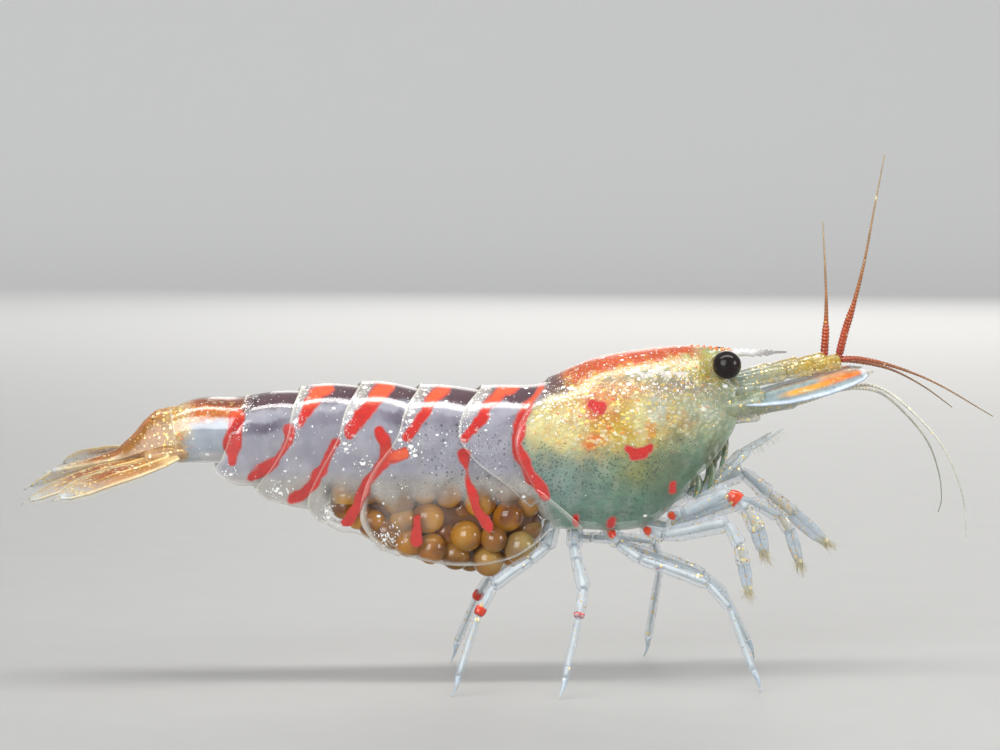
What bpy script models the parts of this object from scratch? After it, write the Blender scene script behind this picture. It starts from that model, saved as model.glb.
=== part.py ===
"""A berried tiger dwarf shrimp as a still, life-size model on its six walking feet.

Frame: +X towards the head, +Y to the animal's left, +Z up. The origin is on the floor, under the
middle of the animal's box. Every size below is in millimetres; MM turns it into metres when a
mesh is made. Plates, limbs and feelers are separate solids that stop GAP short of each other.
"""
import math

import bmesh
import bpy
from mathutils import Vector

MM = 0.001
GAP = 0.1                 # space between two neighbouring solids
PLATE = 0.5               # thickness of a side plate
FEELER = 0.27             # radius of a feeler
TARSUS = 0.26             # radius of a walking leg's last joint
ROUND_SIDES = 8           # sides of a limb's section

# Body lines, each a list of (place, value) pairs. X runs along the body and Z is a height.
BACK_LINE = [(-13.2, 10.3), (-11.9, 10.68), (-10.4, 10.75), (-8.0, 11.15), (-5.6, 11.32), (-3.4, 11.2),
             (-1.1, 11.15), (0.6, 11.25), (1.7, 11.62), (2.6, 11.95), (3.4, 12.22), (4.8, 12.5),
             (6.3, 12.66), (7.4, 12.6), (8.4, 12.5)]
HALF_WIDTH = [(-13.2, 0.8), (-11.9, 1.05), (-10.4, 1.3), (-8.0, 1.62), (-5.6, 1.9), (-3.0, 2.05),
              (0.0, 2.08), (3.4, 2.2), (5.2, 2.08), (6.6, 1.75), (7.6, 1.35), (8.6, 0.95)]
WIDEST_LEVEL = [(-13.2, 9.4), (-10.4, 9.35), (-6.0, 8.9), (-1.0, 8.6), (3.4, 8.5), (6.5, 9.3), (8.6, 10.3)]
MUSCLE_FLOOR = [(-11.5, 8.55), (-10.4, 8.5), (-8.0, 8.3), (-5.0, 8.05), (0.0, 7.9)]
SIDE_PLATE_TUCK = 0.1     # share of the half width lost at a side plate's lower edge
TERGITE_ARCH = 0.06       # how far each abdominal plate bows up along its length
HIND_LIFT = 0.05          # how far its hind edge stands proud

# Plate edges in side view, as (Z, X) pairs from the lower end to the back.
CARAPACE_REAR = [(6.0, 1.4), (6.9, 0.95), (7.8, 0.45), (9.1, -0.1), (10.2, 0.25), (11.4, 1.3)]
EDGE_1_2 = [(6.0, 1.1), (6.7, 0.6), (7.6, -0.35), (8.5, -1.4), (9.4, -2.1), (10.5, -1.8), (11.2, -1.1)]
EDGE_2_3 = [(5.3, -5.0), (6.5, -5.7), (8.0, -5.3), (9.4, -4.4), (10.5, -4.05), (11.3, -3.4)]
EDGE_3_4 = [(6.6, -7.8), (8.0, -7.35), (9.4, -6.6), (10.5, -6.3), (11.4, -5.65)]
EDGE_4_5 = [(7.3, -9.75), (8.4, -9.25), (9.4, -8.6), (10.5, -8.3), (11.2, -7.95)]
EDGE_5_6 = [(8.0, -11.3), (8.6, -11.0), (9.4, -10.7), (10.4, -10.35), (11.0, -9.95)]
ABDOMEN_REAR = [(8.4, -12.75), (10.4, -13.05)]
CARAPACE_FRONT = [(9.0, 8.1), (9.7, 8.4), (10.6, 8.5), (11.6, 8.45), (12.5, 8.3)]
CARAPACE_LOWER = [(-0.2, 6.0), (1.4, 6.0), (4.9, 6.0), (5.6, 6.35), (6.3, 7.1), (7.1, 7.75), (7.8, 8.4),
                  (8.3, 9.0)]

# Lower edge of each side plate, from its front (0) to its rear (1).
SIDE_PLATE_LOWER = {
    1: [(0.0, 6.95), (1.0, 6.9)],
    2: [(0.0, 6.0), (0.15, 5.2), (0.4, 4.65), (0.75, 4.65), (1.0, 5.3)],
    3: [(0.0, 6.0), (0.5, 5.9), (1.0, 6.6)],
    4: [(0.0, 6.75), (0.55, 6.8), (1.0, 7.35)],
    5: [(0.0, 7.75), (0.4, 7.6), (0.75, 7.65), (1.0, 8.0)],
}
ABDOMEN_EDGES = [CARAPACE_REAR, EDGE_1_2, EDGE_2_3, EDGE_3_4, EDGE_4_5, EDGE_5_6, ABDOMEN_REAR]
LAST_SEGMENT_FLOOR = 8.4
BACK_END, LOWER_END = 99, 0    # heights beyond both ends of an edge, where its end values hold

# Head.
EYE_CENTRE = (7.98, 1.3, 12.05)
EYE_RADIUS = 0.56
ORBIT_RADIUS = 0.72
EYESTALK_RADIUS = 0.36
EYE_FLAT = 0.6            # where the eye is cut off on its stalk, as a share of its radius
ROSTRUM = [(7.2, 0.0, 12.36, 0.28, 0.3), (8.4, 0.0, 12.38, 0.26, 0.27), (9.6, 0.0, 12.42, 0.25, 0.25),
           (10.3, 0.0, 12.45, 0.24, 0.22)]

# Egg clutch between the side plates: (X, lowest Z, highest Z, half width).
CLUTCH = [(-6.5, 6.3, 7.6, 0.4), (-5.9, 5.8, 7.75, 0.6), (-4.6, 4.95, 7.75, 0.68), (-3.0, 4.47, 7.75, 0.68),
          (-1.4, 4.0, 7.75, 0.68), (-0.4, 4.1, 7.7, 0.68), (0.4, 4.6, 7.2, 0.65), (0.85, 5.2, 6.5, 0.5)]

# Limb paths: (X, Y, Z, radius) from the root to the tip, or (X, Y, Z, half width, half height).
LIMBS_RIGHT = {
    "maxilliped": [(7.2, -0.62, 7.2, 0.34), (8.1, -0.7, 8.0, 0.36), (9.1, -0.85, 9.0, 0.3),
                   (10.2, -0.95, 9.6, 0.27)],
    "cheliped_1": [(5.85, -1.35, 6.0, 0.36), (6.6, -1.75, 6.55, 0.4), (7.8, -2.25, 7.2, 0.42),
                   (8.45, -2.4, 7.0, 0.36), (8.8, -2.4, 6.4, 0.36), (9.1, -2.3, 5.7, 0.4),
                   (9.35, -2.1, 4.75, 0.26)],
    "cheliped_2": [(4.75, -1.3, 5.55, 0.34), (5.6, -1.95, 5.65, 0.34), (6.7, -2.65, 6.0, 0.34),
                   (7.75, -3.05, 6.2, 0.32), (8.2, -3.2, 5.5, 0.3), (8.4, -3.15, 4.8, 0.36),
                   (8.6, -2.95, 3.55, 0.25)],
    "leg_3": [(3.5, -1.2, 5.54, 0.36), (3.85, -1.65, 5.25, 0.34), (4.5, -2.15, 4.85, 0.3),
              (5.8, -2.65, 4.45, 0.3), (7.1, -3.15, 3.95, 0.32), (7.7, -3.4, 3.45, 0.32),
              (8.15, -3.7, 2.6, 0.28), (8.45, -4.0, 1.6, TARSUS), (8.8, -4.35, 0.35, TARSUS),
              (8.88, -4.4, 0.0, 0.3)],
    "leg_4": [(2.25, -1.2, 5.62, 0.36), (2.15, -1.8, 5.2, 0.34), (2.2, -2.7, 4.7, 0.32),
              (2.3, -3.8, 4.0, 0.36), (2.15, -4.25, 3.35, 0.34), (1.95, -4.8, 2.45, 0.28),
              (1.7, -5.2, 1.4, TARSUS), (1.36, -5.55, 0.35, TARSUS), (1.28, -5.6, 0.0, 0.3)],
    "leg_5": [(1.4, -1.2, 5.62, 0.32), (1.15, -1.75, 5.2, 0.32), (0.35, -2.45, 4.8, 0.28),
              (-0.75, -3.2, 4.2, 0.3), (-1.3, -3.6, 3.6, 0.3), (-1.65, -3.9, 2.9, 0.28),
              (-2.1, -4.3, 1.5, TARSUS), (-2.52, -4.65, 0.35, TARSUS), (-2.6, -4.7, 0.0, 0.3)],
    "antennule_outer": [(12.36, -0.52, 12.75, FEELER), (12.6, -0.58, 13.4, FEELER),
                        (12.95, -0.7, 14.5, FEELER), (13.3, -0.78, 16.0, FEELER),
                        (13.65, -0.86, 18.0, FEELER), (14.02, -0.9, 20.0, FEELER)],
    "antennule_inner": [(12.55, -0.5, 12.12, FEELER), (13.3, -0.55, 12.15, FEELER),
                        (14.65, -0.7, 11.86, FEELER), (16.16, -1.0, 11.23, FEELER),
                        (18.1, -1.45, 10.05, FEELER)],
    "antenna_feeler": [(9.5, -0.6, 10.1, FEELER), (11.0, -0.58, 10.55, FEELER),
                       (12.6, -0.62, 11.05, FEELER), (13.65, -1.05, 11.2, FEELER),
                       (14.6, -1.95, 10.62, FEELER), (15.8, -3.0, 9.27, FEELER),
                       (16.35, -3.9, 7.95, FEELER), (16.5, -4.7, 6.8, FEELER), (16.4, -5.5, 5.9, FEELER)],
}
LIMBS_LEFT = {
    "maxilliped": [(7.2, 0.62, 7.2, 0.34), (8.1, 0.7, 7.95, 0.36), (9.0, 0.85, 8.85, 0.3),
                   (10.0, 0.98, 9.3, 0.27)],
    "cheliped_1": [(5.85, 1.5, 6.05, 0.34), (7.1, 2.05, 7.05, 0.38), (8.8, 2.2, 7.75, 0.38),
                   (9.6, 2.35, 7.2, 0.34), (10.4, 2.45, 6.5, 0.34), (11.4, 2.5, 5.7, 0.38),
                   (12.5, 2.35, 4.7, 0.26)],
    "cheliped_2": [(4.75, 1.2, 5.5, 0.32), (6.2, 1.05, 5.75, 0.32), (7.9, 0.95, 6.5, 0.3),
                   (9.2, 1.2, 6.7, 0.3), (10.2, 1.3, 6.15, 0.3), (10.85, 1.3, 5.4, 0.34),
                   (11.2, 1.35, 4.0, 0.25)],
    "leg_3": [(3.5, 1.2, 5.54, 0.36), (3.95, 1.7, 5.2, 0.34), (4.8, 2.25, 4.7, 0.3), (6.3, 2.75, 4.15, 0.3),
              (7.6, 3.2, 3.6, 0.32), (8.3, 3.5, 3.1, 0.32), (8.85, 3.85, 2.3, 0.28),
              (9.3, 4.2, 1.35, TARSUS), (9.72, 4.55, 0.35, TARSUS), (9.8, 4.6, 0.0, 0.3)],
    "leg_4": [(2.3, 1.2, 5.62, 0.36), (2.55, 1.95, 5.2, 0.34), (3.9, 2.95, 5.05, 0.32),
              (5.65, 3.6, 4.9, 0.34), (6.0, 3.95, 4.2, 0.32), (6.0, 4.5, 3.1, 0.28),
              (5.85, 5.05, 1.7, TARSUS), (5.64, 5.54, 0.35, TARSUS), (5.6, 5.6, 0.0, 0.3)],
    "leg_5": [(1.4, 1.2, 5.62, 0.32), (1.25, 1.75, 5.15, 0.32), (0.65, 2.45, 4.5, 0.28),
              (-0.35, 3.2, 3.8, 0.3), (-0.9, 3.6, 3.2, 0.3), (-1.25, 3.9, 2.5, 0.28),
              (-1.65, 4.3, 1.3, TARSUS), (-2.03, 4.65, 0.35, TARSUS), (-2.1, 4.7, 0.0, 0.3)],
    "antennule_outer": [(11.95, 0.52, 12.65, FEELER), (12.02, 0.58, 13.3, FEELER),
                        (12.05, 0.66, 14.3, FEELER), (12.0, 0.74, 15.8, FEELER),
                        (11.92, 0.82, 17.4, FEELER)],
    "antennule_inner": [(12.2, 0.5, 12.0, FEELER), (13.1, 0.7, 12.05, FEELER), (14.6, 1.2, 11.7, FEELER),
                        (16.0, 1.9, 11.0, FEELER), (17.3, 2.6, 10.1, FEELER)],
    "antenna_feeler": [(9.5, 0.6, 10.1, FEELER), (11.0, 0.58, 10.5, FEELER), (12.6, 0.62, 10.9, FEELER),
                       (13.9, 1.2, 10.9, FEELER), (14.98, 2.2, 10.3, FEELER), (16.4, 3.4, 8.83, FEELER),
                       (17.1, 4.4, 7.43, FEELER), (17.35, 5.1, 6.3, FEELER), (17.3, 5.5, 5.7, FEELER)],
}
FOOTED = ("leg_3", "leg_4", "leg_5")

# Paired pieces, given once for both sides: (X, distance from the middle, Z, half width, half height).
# The left antennule reaches less far forward and the tail fan rolls; the other pairs are mirror
# images.
ANTENNULE_BASE = [(9.05, 0.52, 11.6, 0.36, 0.36), (10.5, 0.52, 11.85, 0.39, 0.39),
                  (11.7, 0.52, 12.08, 0.36, 0.36), (12.4, 0.53, 12.2, 0.28, 0.28)]
LEFT_ANTENNULE_SHIFT = -0.4        # along X, for the stations ahead of ANTENNULE_ROOT_END
ANTENNULE_ROOT_END = 10.0
ANTENNA_BASE = [(8.72, 1.0, 10.35, 0.4, 0.4), (9.0, 1.06, 10.45, 0.48, 0.48),
                (9.32, 1.12, 10.55, 0.42, 0.42)]
ANTENNA_SCALE = [(9.46, 1.45, 10.6, 0.42, 0.25), (10.3, 1.5, 10.75, 0.62, 0.26),
                 (11.6, 1.5, 11.1, 0.64, 0.26), (12.6, 1.42, 11.42, 0.5, 0.25),
                 (13.2, 1.36, 11.62, 0.28, 0.25)]
UROPOD_INNER = [(-13.3, 0.5, 8.72, 0.26, 0.26), (-14.4, 0.8, 8.4, 0.4, 0.26), (-15.8, 1.0, 8.07, 0.5, 0.26),
                (-17.2, 1.2, 7.6, 0.5, 0.25), (-18.3, 1.28, 7.16, 0.28, 0.25)]
UROPOD_OUTER = [(-13.2, 1.1, 8.7, 0.26, 0.26), (-14.1, 1.76, 8.42, 0.44, 0.26),
                (-15.2, 2.35, 8.19, 0.58, 0.26), (-16.3, 2.85, 7.92, 0.6, 0.25),
                (-17.1, 3.1, 7.64, 0.35, 0.25)]
FAN_TILT = 0.12           # rise of the tail fan's blades for each millimetre towards the left side
TELSON = [(-13.2, 0.0, 9.7, 0.62, 0.5), (-14.2, 0.0, 9.22, 0.5, 0.34), (-15.4, 0.0, 8.72, 0.42, 0.27),
          (-16.6, 0.0, 8.35, 0.34, 0.25), (-17.4, 0.0, 8.12, 0.22, 0.25)]
SCALE_ROLL = 35           # degrees that a feeler scale's outer edge hangs below its inner one
UROPOD_ROLL = 22          # the same for a tail fan blade

# Swimmerets: X of the root, distance from the middle, top Z, tip Z and backward lean.
SWIMMERETS = {
    1: (-0.25, 1.02, 7.6, 5.3, 0.1),
    2: (-2.0, 1.03, 7.65, 4.7, 0.4),
    3: (-4.3, 1.02, 7.75, 5.1, 0.7),
    4: (-6.95, 0.8, 7.85, 6.45, 0.7),
    5: (-9.2, 0.62, 8.05, 7.2, 0.7),
}
SWIMMERET_HALF_LENGTH = 0.5

COLOURS = {
    "shell": ((0.36, 0.37, 0.42), 0.25),
    "head": ((0.42, 0.4, 0.3), 0.25),
    "tail": ((0.5, 0.27, 0.12), 0.3),
    "limb": ((0.5, 0.52, 0.52), 0.25),
    "feeler": ((0.5, 0.2, 0.06), 0.35),
    "eye": ((0.01, 0.008, 0.008), 0.08),
    "egg": ((0.32, 0.13, 0.02), 0.2),
}


# ---------------------------------------------------------------------------------------- tools

def value_at(pairs, place):
    """Read a smooth curve through (place, value) pairs, held level beyond its ends."""
    if place <= pairs[0][0]:
        return pairs[0][1]
    if place >= pairs[-1][0]:
        return pairs[-1][1]
    slopes = [(b[1] - a[1]) / (b[0] - a[0]) for a, b in zip(pairs, pairs[1:])]
    tangents = [slopes[0]] + [(a + b) / 2 for a, b in zip(slopes, slopes[1:])] + [slopes[-1]]
    for i, (a, b) in enumerate(zip(pairs, pairs[1:])):
        if place <= b[0]:
            run = b[0] - a[0]
            t = (place - a[0]) / run
            return ((2 * t**3 - 3 * t**2 + 1) * a[1] + (t**3 - 2 * t**2 + t) * run * tangents[i]
                    + (3 * t**2 - 2 * t**3) * b[1] + (t**3 - t**2) * run * tangents[i + 1])


def smooth_path(stations, steps):
    """Catmull-Rom curve through the stations, with `steps` stretches between each two."""
    first = [2 * a - b for a, b in zip(stations[0], stations[1])]
    last = [2 * a - b for a, b in zip(stations[-1], stations[-2])]
    padded = [first] + list(stations) + [last]
    path = []
    for i in range(1, len(padded) - 2):
        for step in range(steps):
            t = step / steps
            path.append(tuple(
                0.5 * (2 * p1 + (p2 - p0) * t + (2 * p0 - 5 * p1 + 4 * p2 - p3) * t * t
                       + (3 * p1 - p0 - 3 * p2 + p3) * t**3)
                for p0, p1, p2, p3 in zip(*padded[i - 1:i + 3])))
    path.append(tuple(stations[-1]))
    return path


def mirrored(stations):
    return [(x, -y, z) + tuple(rest) for x, y, z, *rest in stations]


def mix(a, b, share):
    return a + (b - a) * share


def make_material(name):
    colour, roughness = COLOURS[name]
    material = bpy.data.materials.new(name)
    material.use_nodes = True
    shader = material.node_tree.nodes["Principled BSDF"]
    shader.inputs["Base Color"].default_value = (*colour, 1)
    shader.inputs["Roughness"].default_value = roughness
    shader.inputs["Metallic"].default_value = 0
    return material


def add_object(name, mesh, material):
    """Put a bmesh, in millimetres, into the shrimp's collection as an object in metres."""
    bmesh.ops.recalc_face_normals(mesh, faces=mesh.faces)
    bmesh.ops.scale(mesh, vec=(MM, MM, MM), verts=mesh.verts)
    data = bpy.data.meshes.new(name)
    mesh.to_mesh(data)
    mesh.free()
    data.shade_smooth()
    data.set_sharp_from_angle(angle=math.radians(50))
    data.materials.append(material)
    item = bpy.data.objects.new(name, data)
    SHRIMP.objects.link(item)
    item.parent = STAND_POINT
    return item


def join_rings(mesh, rings):
    """Skin a stack of equal rings of points and give back their vertices."""
    loops = [[mesh.verts.new(point) for point in ring] for ring in rings]
    for near, far in zip(loops, loops[1:]):
        for i in range(len(near)):
            mesh.faces.new((near[i - 1], near[i], far[i], far[i - 1]))
    return loops


def sweep(name, stations, material, roll=0, footed=False, sides=ROUND_SIDES, steps=2):
    """Solid of elliptical section along a path; a footed one ends in a level flat."""
    stations = [s if len(s) == 5 else (*s, s[3]) for s in stations]
    path = smooth_path(stations, steps)
    centres = [Vector(p[:3]) for p in path]
    outward = -1 if stations[-1][1] < 0 else 1
    lean = Vector((0, outward * math.cos(math.radians(roll)), -math.sin(math.radians(roll))))
    rings = []
    for i, centre in enumerate(centres):
        along = (centres[min(i + 1, len(path) - 1)] - centres[max(i - 1, 0)]).normalized()
        if footed and i == len(path) - 1:
            along = Vector((0, 0, -1))
        across = (lean - along * lean.dot(along)).normalized()
        upright = along.cross(across)
        half_width, half_height = path[i][3:]
        turns = [2 * math.pi * k / sides for k in range(sides)]
        rings.append([centre + across * half_width * math.cos(a) + upright * half_height * math.sin(a)
                      for a in turns])
    mesh = bmesh.new()
    loops = join_rings(mesh, rings)
    mesh.faces.new(loops[0])
    mesh.faces.new(loops[-1])
    return add_object(name, mesh, material)


# ----------------------------------------------------------------------------------- body plates

def half_width_at(x, z, top):
    """Half width of the body: an oval crown down to its widest level, then a slight tuck."""
    widest = value_at(WIDEST_LEVEL, x)
    width = value_at(HALF_WIDTH, x)
    if z >= widest:
        rise = min((z - widest) / (top - widest), 1)
        return width * (1 - rise**2.2) ** 0.55
    return width * (1 - SIDE_PLATE_TUCK * ((widest - z) / 4) ** 2)


CROWN_STEPS = 6
SIDE_STEPS = 3


def plate_ring(front, rear, share, lower, x_front, x_rear):
    """Half outline of a plate across the body: (X, half width, Z) down from the back."""
    x_top = mix(value_at(front, BACK_END), value_at(rear, BACK_END), share)
    top = value_at(BACK_LINE, x_top) + TERGITE_ARCH * math.sin(math.pi * share) + HIND_LIFT * share
    floor = value_at(MUSCLE_FLOOR, x_top - 0.8)
    heights = [floor + (top - floor) * math.cos(math.pi / 2 * k / CROWN_STEPS)
               for k in range(CROWN_STEPS + 1)]
    heights += [mix(floor, lower, k / SIDE_STEPS) for k in range(1, SIDE_STEPS + 1)]
    outline = []
    for z in heights:
        x = mix(value_at(front, z) + x_front, value_at(rear, z) + x_rear, share)
        outline.append((x, half_width_at(x, z, top), z))
    outline[0] = (outline[0][0], 0.0, top)
    return outline


def abdomen_plate(number, material, rings=5):
    """Abdominal segment: a muscle core under the arched plate, with a thin plate down each side."""
    front, rear = ABDOMEN_EDGES[number - 1:number + 1]
    lowers = SIDE_PLATE_LOWER[number]
    mesh = bmesh.new()
    loops = []
    for i in range(rings):
        share = i / (rings - 1)
        half = plate_ring(front, rear, share, value_at(lowers, share), -GAP / 2, GAP / 2)
        outer_right = [(x, -y, z) for x, y, z in half]
        outer_left = [(x, y, z) for x, y, z in half]
        inner_right = [(x, -(y - PLATE), z) for x, y, z in half[CROWN_STEPS:]]
        inner_left = [(x, y - PLATE, z) for x, y, z in half[CROWN_STEPS:]]
        loops.append(outer_left[:0:-1] + outer_right + inner_right[::-1] + inner_left)
    vertices = join_rings(mesh, loops)
    count = len(half)
    for ring in (vertices[0], vertices[-1]):
        left = ring[:count][::-1]
        right = ring[count - 1:2 * count - 1]
        inner_right = ring[2 * count - 1:2 * count - 1 + SIDE_STEPS + 1][::-1]
        inner_left = ring[2 * count - 1 + SIDE_STEPS + 1:]
        mesh.faces.new((left[1], left[0], right[1]))
        for k in range(1, CROWN_STEPS - 1):
            mesh.faces.new((left[k + 1], left[k], right[k], right[k + 1]))
        k = CROWN_STEPS
        mesh.faces.new((left[k], left[k - 1], right[k - 1], right[k], inner_right[0], inner_left[0]))
        for j in range(SIDE_STEPS):
            mesh.faces.new((left[k + j], left[k + j + 1], inner_left[j + 1], inner_left[j]))
            mesh.faces.new((right[k + j], right[k + j + 1], inner_right[j + 1], inner_right[j]))
    return add_object(f"abdomen_{number}", mesh, material)


def closed_ring(half):
    """Full outline from a half one, with one point in the middle of the underside."""
    x, _, z = half[-1]
    right = [(x, -y, z) for x, y, z in half]
    left = [(x, y, z) for x, y, z in half]
    return left[:0:-1] + right + [(x, 0.0, z)]


def cap_level(mesh, ring, count):
    """Close a ring with level strips, so that its end follows the plate's edge height by height."""
    left = ring[:count][::-1]
    right = ring[count - 1:2 * count - 1]
    mesh.faces.new((left[1], left[0], right[1]))
    for k in range(1, count - 2):
        mesh.faces.new((left[k + 1], left[k], right[k], right[k + 1]))
    mesh.faces.new((left[-1], left[-2], right[-2], right[-1], ring[-1]))


def last_segment(material, rings=6, levels=9):
    """Sixth abdominal segment: a closed, flattened barrel."""
    mesh = bmesh.new()
    outlines = []
    for i in range(rings):
        share = i / (rings - 1)
        x_top = mix(value_at(EDGE_5_6, BACK_END), value_at(ABDOMEN_REAR, BACK_END), share)
        top = value_at(BACK_LINE, x_top) + HIND_LIFT * share
        half = []
        for k in range(levels + 1):
            angle = math.pi * k / levels
            z = (top + LAST_SEGMENT_FLOOR) / 2 + (top - LAST_SEGMENT_FLOOR) / 2 * math.cos(angle)
            x = mix(value_at(EDGE_5_6, z) - GAP / 2, value_at(ABDOMEN_REAR, z) + GAP / 2, share)
            half.append((x, value_at(HALF_WIDTH, x) * math.sin(angle) ** 0.8, z))
        outlines.append(half)
    loops = join_rings(mesh, [half[:0:-1] + mirrored(half[:-1]) for half in outlines])
    for ring in (loops[0], loops[-1]):
        left = [ring[levels]] + ring[:levels][::-1]
        right = ring[levels:] + [ring[0]]
        mesh.faces.new((left[1], left[0], right[1]))
        for k in range(1, levels - 1):
            mesh.faces.new((left[k + 1], left[k], right[k], right[k + 1]))
        mesh.faces.new((left[levels], left[levels - 1], right[levels - 1]))
    return add_object("abdomen_6", mesh, material)


def carapace(material, rings=13, sides=10):
    """Carapace over the thorax and head, with the orbits cut out and the rostrum joined on."""
    mesh = bmesh.new()
    outlines = []
    for i in range(rings):
        share = (i / (rings - 1)) ** 0.9
        x_low = mix(1.4, value_at(CARAPACE_FRONT, LOWER_END), share)
        lower = value_at(CARAPACE_LOWER, x_low)
        x_top = mix(value_at(CARAPACE_REAR, BACK_END), value_at(CARAPACE_FRONT, BACK_END), share)
        top = value_at(BACK_LINE, x_top)
        half = []
        for k in range(sides + 1):
            z = lower + (top - lower) * (0.5 + 0.5 * math.cos(math.pi * k / sides))
            x = mix(value_at(CARAPACE_REAR, z) + GAP / 2, value_at(CARAPACE_FRONT, z), share)
            width = half_width_at(x, z, top)
            if k == sides:
                width *= 0.8
            half.append((x, width, z))
        half[0] = (half[0][0], 0.0, top)
        outlines.append(half)
    loops = join_rings(mesh, [closed_ring(half) for half in outlines])
    for ring in (loops[0], loops[-1]):
        cap_level(mesh, ring, sides + 1)
    body = add_object("carapace", mesh, material)

    guides = [sweep("rostrum_to_join", ROSTRUM, material)]
    for side in (-1, 1):
        x, y, z = EYE_CENTRE
        bpy.ops.mesh.primitive_uv_sphere_add(segments=16, ring_count=10, radius=ORBIT_RADIUS * MM,
                                             location=(x * MM, side * y * MM, z * MM))
        guides.append(bpy.context.object)
        guides[-1].name = f"orbit_cutter_{'left' if side > 0 else 'right'}"
    for guide, operation in zip(guides, ("UNION", "DIFFERENCE", "DIFFERENCE")):
        guide.hide_render = True
        guide.display_type = "WIRE"
        for owner in list(guide.users_collection):
            owner.objects.unlink(guide)
        CUTTERS.objects.link(guide)
        cut = body.modifiers.new(guide.name, "BOOLEAN")
        cut.operation = operation
        cut.object = guide
    return body


# ------------------------------------------------------------------------------ smaller sub-parts

def eye(side, name, material):
    """Round cornea, cut flat where it sits on its stalk."""
    centre = Vector((EYE_CENTRE[0], side * EYE_CENTRE[1], EYE_CENTRE[2]))
    mesh = bmesh.new()
    bmesh.ops.create_uvsphere(mesh, u_segments=14, v_segments=9, radius=EYE_RADIUS)
    turn = Vector((0, 0, 1)).rotation_difference(stalk_axis(side))
    bmesh.ops.rotate(mesh, verts=mesh.verts, matrix=turn.to_matrix())
    bmesh.ops.translate(mesh, verts=mesh.verts, vec=centre)
    cut = bmesh.ops.bisect_plane(mesh, geom=mesh.verts[:] + mesh.edges[:] + mesh.faces[:],
                                 plane_co=centre - stalk_axis(side) * EYE_RADIUS * EYE_FLAT,
                                 plane_no=stalk_axis(side), clear_inner=True)
    bmesh.ops.contextual_create(mesh, geom=[g for g in cut["geom_cut"] if isinstance(g, bmesh.types.BMEdge)])
    return add_object(name, mesh, material)


def stalk_axis(side):
    """Direction from the head to an eye: outward, a little up and forward."""
    return Vector((0.1, side * 1.0, 0.3)).normalized()


def eyestalk(side, name, material):
    centre = Vector((EYE_CENTRE[0], side * EYE_CENTRE[1], EYE_CENTRE[2]))
    outer = centre - stalk_axis(side) * (EYE_RADIUS * EYE_FLAT + GAP)
    inner = outer - stalk_axis(side) * 0.16
    stations = [(*inner, EYESTALK_RADIUS * 0.9), (*outer, EYESTALK_RADIUS)]
    return sweep(name, stations, material, steps=1)


def egg_clutch(material, sides=12):
    """The carried eggs as one lumped solid under the muscle, between the side plates."""
    rings = []
    for x, low, high, half_width in CLUTCH:
        middle = (high + low) / 2
        reach = (high - low) / 2
        ring = []
        for k in range(sides):
            angle = 2 * math.pi * k / sides
            bulge = abs(math.sin(angle)) ** 0.7 * math.copysign(1, math.sin(angle))
            ring.append((x, half_width * bulge, middle + reach * math.cos(angle)))
        rings.append(ring)
    mesh = bmesh.new()
    loops = join_rings(mesh, rings)
    mesh.faces.new(loops[0])
    mesh.faces.new(loops[-1])
    return add_object("egg_clutch", mesh, material)


def swimmeret(number, side, name, material):
    """Short flat paddle that hangs under one abdominal segment."""
    x, reach, top, tip, lean = SWIMMERETS[number]
    half = SWIMMERET_HALF_LENGTH
    stations = []
    for share, size in ((0.0, 0.7), (0.45, 1.0), (0.85, 0.85), (1.0, 0.45)):
        stations.append((x - lean * share, side * reach, mix(top, tip, share), 0.25, half * size))
    return sweep(name, stations, material, steps=1)


# ------------------------------------------------------------------------------------------ build

for leftover in list(bpy.data.objects):
    bpy.data.objects.remove(leftover, do_unlink=True)
SHRIMP = bpy.data.collections.new("tiger_shrimp")
CUTTERS = bpy.data.collections.new("cutters")
for collection in (SHRIMP, CUTTERS):
    bpy.context.scene.collection.children.link(collection)
STAND_POINT = bpy.data.objects.new("stand_point", None)
SHRIMP.objects.link(STAND_POINT)
MATERIALS = {name: make_material(name) for name in COLOURS}


def build_body():
    carapace(MATERIALS["head"])
    for number in range(1, 6):
        abdomen_plate(number, MATERIALS["shell"])
    last_segment(MATERIALS["shell"])
    sweep("telson", TELSON, MATERIALS["tail"], steps=1)
    egg_clutch(MATERIALS["egg"])


def build_side(side, word, limbs):
    """Everything paired, on one side of the animal."""
    for limb, stations in limbs.items():
        material = MATERIALS["feeler" if "antenn" in limb else "limb"]
        sweep(f"{limb}_{word}", stations, material, footed=limb in FOOTED, steps=1 if limb in FOOTED else 2)
    pairs = (("antennule_base", ANTENNULE_BASE, "head", 0), ("antenna_base", ANTENNA_BASE, "head", 0),
             ("antenna_scale", ANTENNA_SCALE, "head", SCALE_ROLL),
             ("uropod_inner", UROPOD_INNER, "tail", UROPOD_ROLL),
             ("uropod_outer", UROPOD_OUTER, "tail", UROPOD_ROLL))
    for piece, stations, material, roll in pairs:
        placed = stations if side > 0 else mirrored(stations)
        if piece == "antennule_base" and side > 0:
            placed = [(x + LEFT_ANTENNULE_SHIFT * (x > ANTENNULE_ROOT_END), *rest) for x, *rest in placed]
        if piece.startswith("uropod"):
            placed = [(x, y, z + FAN_TILT * y, *rest) for x, y, z, *rest in placed]
        sweep(f"{piece}_{word}", placed, MATERIALS[material], roll=roll, steps=1)
    eye(side, f"eye_{word}", MATERIALS["eye"])
    eyestalk(side, f"eyestalk_{word}", MATERIALS["head"])
    for number in SWIMMERETS:
        swimmeret(number, side, f"swimmeret_{number}_{word}", MATERIALS["limb"])


build_body()
build_side(-1, "right", LIMBS_RIGHT)
build_side(1, "left", LIMBS_LEFT)
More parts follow.
